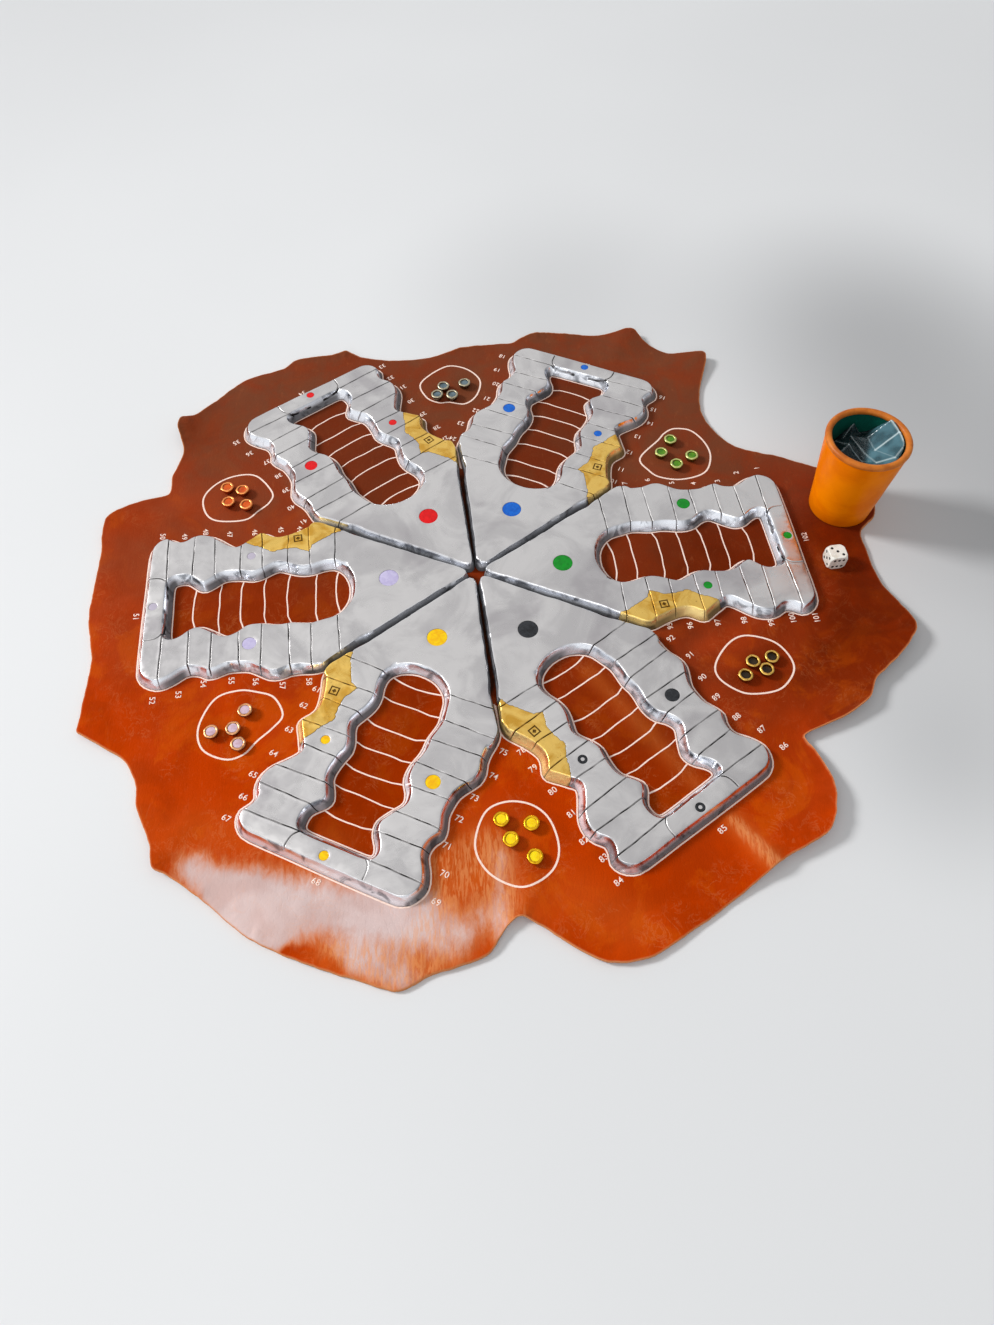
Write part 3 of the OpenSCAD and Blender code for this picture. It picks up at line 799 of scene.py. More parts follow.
def standing(node):
    """The middle of a node in the plane and the height of its foot."""
    low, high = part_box(node)
    middle = (low + high) / 2 / MM
    return middle.x, middle.y, low.z / MM


def ring_places(a, radius, z):
    """Places in space at those angles round the Z axis, where a lathed piece takes its noise."""
    return np.column_stack([np.cos(a) * radius, np.sin(a) * radius, z])


def lathe(profile, count, at, change=None):
    """A solid turned from a closed profile of (radius, height) round the upright line through
    a place. change takes the radii, heights and angles, and gives new radii and heights."""
    profile = np.array(profile, float)
    rows = len(profile)
    r, z = np.repeat(profile, count, 0).T
    a = np.tile(np.arange(count) * 2 * math.pi / count, rows)
    if change:
        r, z = change(r, z, a)
    faces = []
    for low in range(rows):
        high = (low + 1) % rows
        if profile[low][0] > 0 or profile[high][0] > 0:
            for i in range(count):
                j = (i + 1) % count
                faces.append(tuple(row * count + k for row, k in
                                   ((low, i), (low, j), (high, j), (high, i))))
    return np.column_stack([r * np.cos(a), r * np.sin(a), z]) + at, faces


# Plates and inlays


def plate_outlines():
    """The foot of the cast metal and of the brass as paths in the plate's own frame, parted
    into the plate's free edge and the torn edge between the metals, and the window."""
    cast, window = [turned(p, -STAR_TURN) for p in flat_loops("plate_green", PLATE_LOW)[:2]]
    brass = turned(flat_loops("inlay_green", PLATE_LOW)[0], -STAR_TURN)
    shared = {key(p) for p in cast} & {key(p) for p in brass}

    def from_the_tear(loop):
        torn = [key(p) in shared for p in loop]
        first = next(i for i in range(len(loop)) if torn[i] and not torn[i - 1])
        loop, torn = np.roll(loop, -first, 0), np.roll(torn, -first)
        last = max(i for i in range(len(loop)) if torn[i])
        return loop[:last + 1], loop[last + 1:]

    tear, cast_free = from_the_tear(cast)
    _, brass_free = from_the_tear(brass)
    foot = np.concatenate([cast_free, tear[:1], brass_free, tear[-1:]])
    smooth, places = smooth_points(foot, OUTLINE_STEP)
    split = places[len(cast_free)], places[len(cast_free) + 1 + len(brass_free)]
    cast_edge = np.concatenate([smooth[split[1]:], smooth[:split[0] + 1]])
    brass_edge = smooth[split[0]:split[1] + 1]
    return cast_edge, brass_edge, ragged_tear(tear), smooth_points(window, OUTLINE_STEP)[0]


def ragged_tear(tear):
    """The torn edge in short steps, with a ragged line that leaves its ends in place."""
    steps = [tear[0]]
    for a, b in zip(tear[:-1], tear[1:]):
        count = max(2, int(np.linalg.norm(b - a) / 1.1))
        side = np.array([b[1] - a[1], a[0] - b[0]]) / np.linalg.norm(b - a)
        for t in np.arange(1, count + 1) / count:
            p = a + (b - a) * t
            sway = 0.9 * noise.noise(Vector((p[0] / 2.4, p[1] / 2.4, 3)))
            steps.append(p + side * sway * min(1, 4 * t * (1 - t) + 0.3))
    steps[-1] = tear[-1]
    return np.array(steps)


def cut_paths():
    """The middle lines of the cut lines, in the plate's frame, in steps of about a millimetre."""
    paths = []
    for i in range(8):
        tilt = math.tan(math.radians(GROOVE_TILTS[i % 2]))
        for arm in (-1, 1):
            out = np.arange(*GROOVE_REACH, 1.5)
            sway = [0.5 * noise.noise(Vector((y / 13, i * 3.1, arm * 2.2))) for y in out]
            x = GROOVE_FIRST + i * GROOVE_PITCH - out * tilt + sway
            paths.append(np.column_stack([x, arm * out]))
    return paths + [smooth_points(np.array(c, float), 1.0, False)[0] for c in CORNER_CUTS]


def circle(centre, radius, count=40):
    a = np.arange(count + 1) * 2 * math.pi / count
    return np.column_stack([centre[0] + radius * np.cos(a), centre[1] + radius * np.sin(a)])


def square_ring(half, turn):
    """A closed square path round the punch mark's centre."""
    side = np.linspace(-half, half, 9)[:-1]
    ring = np.concatenate([
        np.column_stack([side, np.full(8, -half)]), np.column_stack([np.full(8, half), side]),
        np.column_stack([-side, np.full(8, half)]), np.column_stack([np.full(8, -half), -side])])
    ring = np.concatenate([ring, ring[:1]])
    return turned(ring, turn) + np.array(STAMP_AT)


CAST_EDGE, BRASS_EDGE, TEAR, WINDOW = plate_outlines()
CUTS = cut_paths()
CUT_EDGES = Edges([(c, normals(c, False)) for c in CUTS])
CUT_OF = np.concatenate([[i] * (len(c) - 1) for i, c in enumerate(CUTS)])
CUT_ROWS = sorted({side * away for away, _ in GROOVE_SECTION for side in (-1, 1)})
STAMP_RINGS = [STAMP_HALF + 0.15, STAMP_HALF, STAMP_HALF - STAMP_FRAME,
               STAMP_HALF - STAMP_FRAME - 0.15]


class Metal:
    """The cast or the brass part of a plate, in the plate's frame."""

    def __init__(self, edge, holes, brass):
        tear = TEAR if brass else TEAR[::-1]
        self.brass = brass
        # The brass lies to the left of its edge and then of the tear, and so does the cast
        outline = np.concatenate([edge, tear[::-1][1:-1]])
        if area(outline) < 0:
            raise ValueError("the outline runs the wrong way round")
        self.loops = [outline] + holes
        free = [(edge, normals(edge, False))] + [closed_path(h, -1) for h in holes]
        self.free = Edges(free)
        self.torn = Edges([(TEAR, normals(TEAR, False))])
        lines = self.ring_lines(free) + self.cut_lines() + self.mark_lines()
        self.slab = Slab(self.loops, lines, self.spots(), [0.5, 1.0])
        xy = self.slab.xy
        self.gap, _, self.out = self.free.nearest(xy)
        self.torn_gap = self.torn.nearest(xy)[0]
        self.cut_gap, segment, _ = CUT_EDGES.nearest(xy)
        self.cut = CUT_OF[segment]
        angle = math.radians(SEAM_ANGLE)
        inward = xy[:, 0] * math.sin(angle) - np.abs(xy[:, 1]) * math.cos(angle)
        self.seam = 1 - smoothstep(7, 13, inward)

    def ring_lines(self, free):
        lines = []
        for path, out in free:
            for depth, _ in BEVEL[1:]:
                ring = (path - depth * out)[2:-2]
                gap = self.free.nearest(ring)[0]
                lines += runs(ring, (gap > 0.93 * depth) & inside(ring, self.loops))
        for depth in (0.12, 0.32):
            ring = TEAR[2:-2] + depth * normals(TEAR, False)[2:-2] * self.tear_side()
            lines += runs(ring, inside(ring, self.loops))
        return lines

    def tear_side(self):
        """1 where this metal lies on the right of the tear, -1 on its left."""
        probe = TEAR[len(TEAR) // 2] + 0.5 * normals(TEAR, False)[len(TEAR) // 2]
        return 1 if inside(probe[None], self.loops)[0] else -1

    def cut_lines(self):
        lines = []
        for path in CUTS:
            for offset in CUT_ROWS:
                row = path + offset * normals(path, False)
                clear = self.free.nearest(row)[0] > 0.25
                lines += runs(row, clear & inside(row, self.loops))
        return lines

    def mark_lines(self):
        if self.brass:
            rings = [square_ring(half, STAMP_TILT) for half in STAMP_RINGS]
            return rings + [square_ring(half, 45 + STAMP_TILT)
                            for half in (STAMP_CORE + 0.15, STAMP_CORE)]
        rings = []
        for centre, radius, _ in DOTS:
            for more in (0.4, 0.08, -0.02, -0.7):
                rings.append(circle(centre, radius + more))
        for centre, _, _ in DOTS[SMALL_DOTS:]:
            rings += [circle(centre, RING_HOLE + more, 20) for more in (-0.1, 0.05)]
        return rings

    def spots(self):
        """Points inside, away from all edges, cuts and marks."""
        low, high = self.loops[0].min(0), self.loops[0].max(0)
        step = INNER_STEP * (0.6 if self.brass else 1)
        spots = grid(low, high, step)
        spots += jitter(len(spots), 0.3) * step
        clear = inside(spots, self.loops) & (self.free.nearest(spots)[0] > BEVEL[-1][0] + 1)
        clear &= (CUT_EDGES.nearest(spots)[0] > 1.8) & (self.torn.nearest(spots)[0] > 0.8)
        for centre, radius, _ in DOTS:
            clear &= np.linalg.norm(spots - np.array(centre), axis=1) > radius + 0.9
        return spots[clear]

    def shape(self, k):
        """The points and faces of this metal on plate k, with its edges' painted highlight, its dirty
        cuts and its painted shade.
        """
        slab, count = self.slab, len(self.slab.top)
        xy, gap = slab.top, self.gap[:count]
        looks = on_plate(self.out, k)
        away_shade = smoothstep(0.25, 0.8, looks @ np.array(SHADED_SIDE))
        bright = smoothstep(0.5, 0.8, looks @ np.array(BRIGHT_SIDE))
        width = 1 - self.seam * (1 - SEAM_BEVEL - (BRIGHT_BEVEL - SEAM_BEVEL) * bright)
        inward = self.gap / width
        z = PLATE_TOP + wave(xy, k) - np.interp(inward[:count], *zip(*BEVEL))
        z -= rounded(self.torn_gap[:count], TORN_ROUND)
        if self.brass:
            z += 0.12 + 0.07 * noise_at(with_z(xy, 2), 4.5, k)
        depth = self.cut_depth(k, count)
        cut = depth * np.interp(self.cut_gap[:count], *zip(*GROOVE_SECTION))
        z -= cut * smoothstep(0, 1.2, gap)
        mark = self.punch(xy) if self.brass else self.pockets(xy, k)
        z -= mark
        points, faces = slab.solid(z, PLATE_LOW)
        points = self.lumpy(points, k)
        grime = np.zeros(len(points))
        thin = 0.5 + 0.5 * smoothstep(-0.2, 0.2, noise_at(with_z(xy, 3), 8, k))
        grime[:count] = np.clip(cut / 0.35, 0, 1) * np.clip(depth / 0.5, 0.35, 1) * thin
        tear_dirt = 1 - smoothstep(0.02, 0.3, self.torn_gap)
        grime = np.maximum(grime, 0.9 * tear_dirt)
        # Painted shade on the rims of the dots' pockets and in the punch mark
        grime[:count] = np.maximum(grime[:count], smoothstep(0.05, 0.3, mark) * 0.85)
        # Painted shade at the walls' feet, on the walls in the seams, and on those that face away
        # from the light
        height = points[:, 2] - PLATE_LOW
        foot = 0.5 * (1 - smoothstep(0.4, 2.2, height))
        away_shade = 0.8 * away_shade * (1 - smoothstep(4.5, 8.2, height))
        seam_wall_shade = 0.85 * self.seam * (1 - smoothstep(2 + 2 * bright, 8 - 2 * bright, height))
        grime = np.maximum.reduce([grime, foot, seam_wall_shade, away_shade])
        values = {"grime": grime, "polish": 1 - smoothstep(4.1, 5.0, inward),
                  "steep": 1 - smoothstep(1.8, 3.8, inward)}
        return on_plate(points, k), faces, values

    def cut_depth(self, k, count):
        """How deep each cut is at each point: some fade out along their way."""
        along = self.slab.top
        fade = noise_at(np.column_stack([along[:, 1] / 3, self.cut[:count] * 40.0,
                                         np.full(count, 7.0)]), 6, k + 0.3)
        return GROOVE_DEPTH * (0.45 + 0.55 * smoothstep(-0.5, -0.15, fade))

    def pockets(self, xy, k):
        depth = np.zeros(len(xy))
        for n, (centre, radius, _) in enumerate(DOTS):
            r = np.linalg.norm(xy - np.array(centre), axis=1)
            pocket = np.interp(r - radius, [-0.02, 0.08, 0.4], [POCKET_DEPTH, 0.1, 0])
            if COLOURS[k] == "black" and n >= SMALL_DOTS:
                pocket *= np.interp(r - RING_HOLE, [-0.1, 0.05], [0, 1])
            depth = np.maximum(depth, pocket)
        return depth

    def punch(self, xy):
        p = turned(xy - np.array(STAMP_AT), -STAMP_TILT)
        half = np.abs(p).max(1)
        core = (np.abs(turned(p, -45))).max(1)
        frame_depth = np.interp(half, STAMP_RINGS[::-1], [0, 1, 1, 0])
        core_depth = np.interp(core, [STAMP_CORE, STAMP_CORE + 0.15], [1, 0])
        return STAMP_DEPTH * np.maximum(frame_depth, core_depth)

    def lumpy(self, points, k):
        """Moves the edges in and out a little, as grinding by hand leaves them."""
        sway = 0.65 * noise_at(points, 12, k + 0.7) + 0.1 * noise_at(points, 5, k + 0.2)
        near = 1 - smoothstep(1.5, BEVEL[-1][0] + 1, self.gap)
        lift = smoothstep(0, 3, points[:, 2] - PLATE_LOW)
        away = smoothstep(0.2, 3, self.torn_gap)
        points[:, :2] += self.out * ((sway * lift + FOOT_SPREAD) * near * away)[:, None]
        return points


def rounded(gap, radius):
    """How far a rounded edge lies below the face, by the distance from the edge."""
    short = np.clip(radius - gap, 0, radius)
    return radius - np.sqrt(radius ** 2 - short ** 2)


def wave(xy, k):
    """How plate k's top swells and sinks by a little, as a casting's does."""
    return 0.16 * noise_at(with_z(xy, 0), 30, k + 0.5) + 0.05 * noise_at(with_z(xy, 5), 9, k)


def make_plates():
    cast = Metal(CAST_EDGE, [WINDOW], False)
    brass = Metal(BRASS_EDGE, [], True)
    cast_material, brass_material = cast_metal(), brass_inlay()
    for k, colour in enumerate(COLOURS):
        body = "plate_" + colour
        for metal, material, node in ((cast, cast_material, body),
                                      (brass, brass_material, "inlay_" + colour)):
            points, faces, values = metal.shape(k)
            make_piece(node + "_metal", points, faces, material, body, [node], values=values,
                       sharp=62)
        make_dots(k, colour, body)


def make_dots(k, colour, body):
    """The resin in a plate's four pockets, swelling a little, as rings on black's small ones.
    The small lilac dots are worn and pale."""
    parts, worn = [], []
    for n, (centre, radius, swell) in enumerate(DOTS):
        r = radius - 0.05
        if colour == "black" and n >= SMALL_DOTS:
            inner, mid = RING_HOLE + 0.03, (RING_HOLE + r) / 2
            profile = [(inner, -1), (r, -1), (r, -0.12), (r - 0.12, 0.04), (mid + 0.5, swell * 0.8),
                       (mid, swell), (mid - 0.5, swell * 0.8), (inner + 0.12, 0.04), (inner, -0.1)]
        else:
            profile = [(0, -1), (r, -1), (r, -0.14)]
            profile += [(r * s, 0.02 + swell * (1 - s * s))
                        for s in (0.98, 0.93, 0.84, 0.7, 0.5, 0.25, 0)]
        points, faces = lathe(profile, 56, (*centre, PLATE_TOP - RESIN_SINK))
        points[:, 2] += wave(points[:, :2], k)
        parts.append((points, faces))
        worn += [0.8 if colour == "lilac" and n >= SMALL_DOTS else 0] * len(points)
    points, faces = joined(parts)
    name = "enamel_" + colour
    make_piece(name + "_dots", on_plate(points, k), faces, resin(name, *PLATE_RESINS[colour]),
               body, [name], values={"worn": worn}, weld=WELD)


# The hide


def hide_outline():
    """The hide's edge as points in space on its upper face, counter-clockwise."""
    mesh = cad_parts["leather_hide"].data
    edge = {}
    for face in mesh.polygons:
        if abs(face.normal.z) < 0.05:
            for i in face.vertices:
                p = np.array(mesh.vertices[i].co) / MM
                if key(p) not in edge or edge[key(p)][2] < p[2]:
                    edge[key(p)] = p
    points = sorted(edge.values(), key=lambda p: math.atan2(p[1], p[0]))
    return np.array(points)


def plates_tree():
    """The plates' feet and windows as edges, and each as loops in the star's frame."""
    foot = np.concatenate([CAST_EDGE, BRASS_EDGE[1:-1]])
    feet, windows = ([on_plate(loop, k) for k in range(len(COLOURS))] for loop in (foot, WINDOW))
    return Edges([closed_path(p) for p in feet + windows]), feet, windows


PLATE_EDGES, PLATE_LOOPS, WINDOW_LOOPS = plates_tree()
WINDOW_EDGES = Edges([closed_path(w) for w in WINDOW_LOOPS])


def loose_places():
    """The middle and the radius of what stands on the hide."""
    radii = {f"counter_{colour}_{i}": COUNTER_R for colour in COUNTER_COLOURS
             for i in range(1, COUNTERS_EACH + 1)}
    radii.update(die_cube=DIE_SIDE * 0.75, cup_shell=CUP_FOOT_R)
    return [(standing(node), radius) for node, radius in radii.items()]


def free_share(xy):
    """0 under the plates and what else stands on the hide, rising to 1 away from them."""
    gap = PLATE_EDGES.nearest(xy)[0]
    under = inside(xy, PLATE_LOOPS + WINDOW_LOOPS)
    share = np.where(under, 0, smoothstep(0.8, 9, gap))
    for centre, radius in loose_places():
        away = np.hypot(xy[:, 0] - centre[0], xy[:, 1] - centre[1])
        share *= smoothstep(radius + 0.5, radius + 9, away)
    return share


HIDE_STEP = 4.6
# Creases that a fold left in the hide: from, to, half width and height
CREASES = [
    ((78, -84), (158, -202), 7, 0.55),
    ((196, -246), (228, -290), 8, 2.2),
    ((46, -262), (28, -318), 8, 1.6),
    ((8, -262), (4, -330), 12, -1.2),
    ((-318, 176), (-282, 236), 9, 1.2),
    ((158, 296), (170, 334), 7, 1.0),
    ((-232, -232), (-262, -272), 10, 1.6),
    ((250, -262), (300, -236), 9, 0.9),
]
# Painted sheen on the leather, pale where it is strongest: from, to, half width and strength
SHEEN_PATCHES = [
    ((-222, -272), (-178, -304), 15, 0.8),
    ((-176, -296), (-66, -314), 26, 1.0),
    ((-182, -306), (-160, -324), 18, 0.9),
    ((-56, -302), (-24, -332), 20, 0.55),
    ((-94, -344), (-58, -360), 14, 0.6),
    ((-142, -341), (-112, -352), 7, -1.1),
    ((14, -268), (14, -326), 11, 0.5),
    ((-12, -322), (0, -312), 12, 0.35),
    ((202, -254), (226, -286), 6, 0.35),
]
# Painted sheen and highlight streaks where the leather is finely wrinkled, in the same form
WRINKLE_SHEENS = [
    ((-30, -280), (-40, -345), 34, 0.9),
    ((-110, -336), (-66, -352), 18, 0.9),
    ((-225, -240), (-120, -262), 20, 0.45),
    ((8, -258), (22, -322), 22, 0.8),
    ((96, -106), (176, -218), 8, 0.55),
    ((198, -246), (228, -292), 9, 1.0),
    ((70, -300), (110, -326), 22, 0.4),
    ((-245, -262), (-300, -190), 16, 0.25),
]
# Painted shade: how much darker the leather is in the windows, along the seams, which are also
# dirty, and in the star's middle. The seams' shade fades between these distances from a seam.
# From the middle out, it sets in over the first pair and fades over the second.
WINDOW_SHADE = 0.5
SEAM_SHADE = 0.85
SEAM_FADE = (2.5, 8)
SEAM_START = (6, 14)
SEAM_REACH = (118, 150)
MIDDLE_SHADE = 0.5


def strokes(xy, drawn):
    """The sum of soft strokes, each drawn from one point to another."""
    total = np.zeros(len(xy))
    for start, end, width, height in drawn:
        a, d = np.array(start, float), np.array(end, float) - np.array(start)
        t = ((xy - a) @ d) / (d @ d)
        away = np.linalg.norm(xy - a - np.clip(t, 0, 1)[:, None] * d, axis=1)
        total += height * np.exp(-(away / width) ** 2)
    return total


def smoothed(z, faces, held, turns):
    """The heights evened out between neighbours, where a point isn't held."""
    pairs = np.concatenate([faces[:, [0, 1]], faces[:, [1, 2]], faces[:, [2, 0]]])
    pairs = np.concatenate([pairs, pairs[:, ::-1]])
    count = np.bincount(pairs[:, 0], minlength=len(z))
    for _ in range(turns):
        mean = np.bincount(pairs[:, 0], weights=z[pairs[:, 1]], minlength=len(z)) / count
        z = np.where(held, z, 0.5 * z + 0.5 * mean)
    return z


def make_hide():
    """The hide as a sheet of even thickness, with waves at its margin, creases and a cut edge
    that is a little uneven. It lies quite flat under all that stands on it."""
    outline = smooth_points(hide_outline(), 1.7)[0]
    out = normals(outline[:, :2])
    uneven = 0.5 * noise_at(with_z(outline[:, :2], 0), 9) + 0.2 * noise_at(
        with_z(outline[:, :2], 4), 2.5)
    edge = outline[:, :2] + out * uneven[:, None]
    rim = Edges([closed_path(edge)])
    rings = []
    for depth in (0.25, 0.7, 1.6, 4.0, 7.5):
        ring = edge - depth * out
        keep = (rim.nearest(ring)[0] > 0.9 * depth) & inside(ring, [edge])
        rings += runs(ring, keep)
    reach = np.abs(edge).max()
    spots = grid((-reach, -reach), (reach, reach), HIDE_STEP)
    spots += jitter(len(spots), 1.5)
    spots = spots[inside(spots, [edge])]
    spots = spots[rim.nearest(spots)[0] > 9]
    slab = Slab([edge], rings, spots, [0.2, 0.5, 0.8, 1.0])
    xy, gap = slab.top, rim.nearest(slab.xy)[0]
    z = frame_heights(xy, outline)
    z = smoothed(z, slab.faces, gap[:len(xy)] < 0.1, 14)
    share = free_share(xy)
    waves = 0.5 * noise_at(with_z(xy, 0), 34) + 0.22 * noise_at(with_z(xy, 9), 12)
    margin = smoothstep(60, 10, gap[:len(xy)])
    waves = np.maximum(0, waves + 0.18) * (0.7 + 1.2 * margin)
    lift = np.maximum(0, z - HIDE_TOP) + waves + strokes(xy, CREASES)
    top = HIDE_TOP + share * np.maximum(0, lift)
    drop = rounded(gap[:len(xy)], 0.8)
    points, faces = slab.solid(top - drop, 0)
    under = np.maximum(0, np.concatenate([top, top[slab.wall_from]]) - HIDE_TOP)
    wall = np.arange(len(slab.top), len(points))
    down = slab.wall_share
    points[wall, 2] = (top - drop)[slab.wall_from] * (1 - down) + under[wall] * down
    points, faces = add_underside(slab, points, faces, under)
    cut = np.zeros(len(points))
    cut[:len(gap)] = 1 - smoothstep(0.2, 1.1, gap)
    flat = points[:, :2]
    # Painted shade: darker along the seams, which are also dirty, in the star's middle and in the
    # windows
    from_middle = np.hypot(flat[:, 0], flat[:, 1])
    way = np.degrees(np.arctan2(flat[:, 1], flat[:, 0])) - STAR_TURN
    aside = from_middle * np.abs(np.sin(np.radians(way % PLATE_STEP - PLATE_STEP / 2)))
    darkening = SEAM_SHADE * (1 - smoothstep(*SEAM_FADE, aside))
    darkening *= 1 - smoothstep(*SEAM_REACH, from_middle)
    darkening = MIDDLE_SHADE + (darkening - MIDDLE_SHADE) * smoothstep(*SEAM_START, from_middle)
    shade = np.where(inside(flat, WINDOW_LOOPS), WINDOW_SHADE, darkening)
    values = {"cut": cut, "shade": shade}
    for name, drawn in (("sheen_patch", SHEEN_PATCHES), ("wrinkle_sheen", WRINKLE_SHEENS)):
        values[name] = np.clip(strokes(flat, drawn), 0, 1)
    hide = make_piece("hide_skin", points, faces, hide_leather(), "board", ["leather_hide"],
                      values=values, sharp=50)
    return hide


def add_underside(slab, points, faces, under):
    """Gives the sheet an underside that follows its top, in place of the flat one."""
    count = len(slab.top)
    last = {}
    for place, (source, share) in enumerate(zip(slab.wall_from, slab.wall_share)):
        if share == 1.0:
            last[int(source)] = count + place
    extra = [i for i in range(count) if i not in last]
    place = dict(last)
    place.update({i: len(points) + n for n, i in enumerate(extra)})
    low = np.column_stack([slab.top[extra], under[extra]])
    kept = faces[:len(faces) - len(slab.floor)]
    kept += [tuple(place[int(i)] for i in reversed(f)) for f in slab.faces]
    return np.concatenate([points, low]), kept


def mesh_tree(thing):
    return BVHTree.FromPolygons([v.co for v in thing.data.vertices],
                                [tuple(p.vertices) for p in thing.data.polygons])


def heights(tree, xy):
    """The height of a mesh's upper side at each point, or nan beside it."""
    down = Vector((0, 0, -1))
    hits = [tree.ray_cast(Vector((x * MM, y * MM, 1)), down)[0] for x, y in xy]
    return np.array([np.nan if hit is None else hit.z / MM for hit in hits])


def frame_heights(xy, outline):
    """The height of the frame's hide at each point, or of its edge where a point lies on it."""
    z = heights(mesh_tree(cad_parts["leather_hide"]), xy)
    edge = point_tree(outline)
    for i in np.flatnonzero(np.isnan(z)):
        z[i] = outline[edge.find((*xy[i], 0))[1]][2]
    return z


# What is printed on the hide


def laid(drape, points, upper):
    """Drops points onto the hide: those of the ink's upper side just above it, the rest into it."""
    z = heights(drape, points[:, :2])
    points[:, 2] = np.where(np.isnan(z), HIDE_TOP, z) + np.where(upper, INK_T, -INK_DEPTH)
    return points


def make_lines(drape, ink):
    """The printed lines, from the frame's, cut fine enough to follow the hide."""
    for node in ("window_lines", "plate_lines", "counter_loops"):
        mesh = bmesh.new()
        mesh.from_mesh(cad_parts[node].data)
        bmesh.ops.remove_doubles(mesh, verts=mesh.verts, dist=WELD)
        for _ in range(5):
            long = [e for e in mesh.edges if e.calc_length() > LINE_STEP * MM]
            if long:
                bmesh.ops.subdivide_edges(mesh, edges=long, cuts=1)
                bmesh.ops.triangulate(mesh, faces=[f for f in mesh.faces if len(f.verts) > 3])
        points = np.array([v.co for v in mesh.verts]) / MM
        faces = [tuple(v.index for v in f.verts) for f in mesh.faces]
        mesh.free()
        upper = points[:, 2] > HIDE_TOP + 0.05
        if node == "window_lines":
            points = bowed(points)
        make_piece(node + "_ink", laid(drape, points, upper), faces, ink, "board", [node],
                   sharp=70)


def bowed(points):
    """Bends the lines that cross the windows outwards, most in their middles."""
    gap = WINDOW_EDGES.nearest(points[:, :2])[0]
    out = points[:, :2] / np.linalg.norm(points[:, :2], axis=1)[:, None]
    sway = 0.9 * noise_at(with_z(points[:, :2], 0), 17, 2) * smoothstep(2, 9, gap)
    points[:, :2] += out * (LINE_BOW * smoothstep(1, 12, gap) + sway)[:, None]
    return points


def digits(text):
    """The points in the plane and the faces of a number, centred, as high as the digits are."""
    curve = bpy.data.curves.new("number", "FONT")
    curve.body = text
    curve.size = DIGIT_H / DIGIT_SHARE
    curve.align_x, curve.align_y = "CENTER", "CENTER"
    curve.space_character = 1.05
    curve.offset = 0.09
    curve.resolution_u = 5
    curve.extrude = 0.5
    lettering = bpy.data.objects.new("number", curve)
    mesh = lettering.to_mesh()
    points = np.array([v.co for v in mesh.vertices])
    faces = [tuple(p.vertices) for p in mesh.polygons]
    lettering.to_mesh_clear()
    bpy.data.objects.remove(lettering)
    bpy.data.curves.remove(curve)
    points[:, :2] -= (points[:, :2].max(0) + points[:, :2].min(0)) / 2
    return points, faces


def make_numbers(drape, ink):
    """The numbers of the cells, printed beside the plates, their tops towards the centre."""
    parts = []
    for k, colour in enumerate(COLOURS):
        off = np.array(NUMBERS_OFF.get(colour, (0, 0)))
        for n, place in enumerate(NUMBERS_AT):
            cell = (FIRST_CELL + k * CELLS + n) % CELLS_IN_ALL + 1
            points, faces = digits(str(cell))
            points = turned(points, 90)
            points[:, :2] += place + off
            points = on_plate(points, k)
            parts.append((laid(drape, points, points[:, 2] > 0), faces))
    make_piece("cell_numbers", *joined(parts), ink, "board", weld=WELD)


# Counters


def make_counters():
    for player, colour in enumerate(COUNTER_COLOURS):
        brass, fill = counter_brass(colour), resin("fill_" + colour, *COUNTER_RESINS[colour])
        for i in range(COUNTERS_EACH):
            make_counter(colour, player, i, brass, fill)


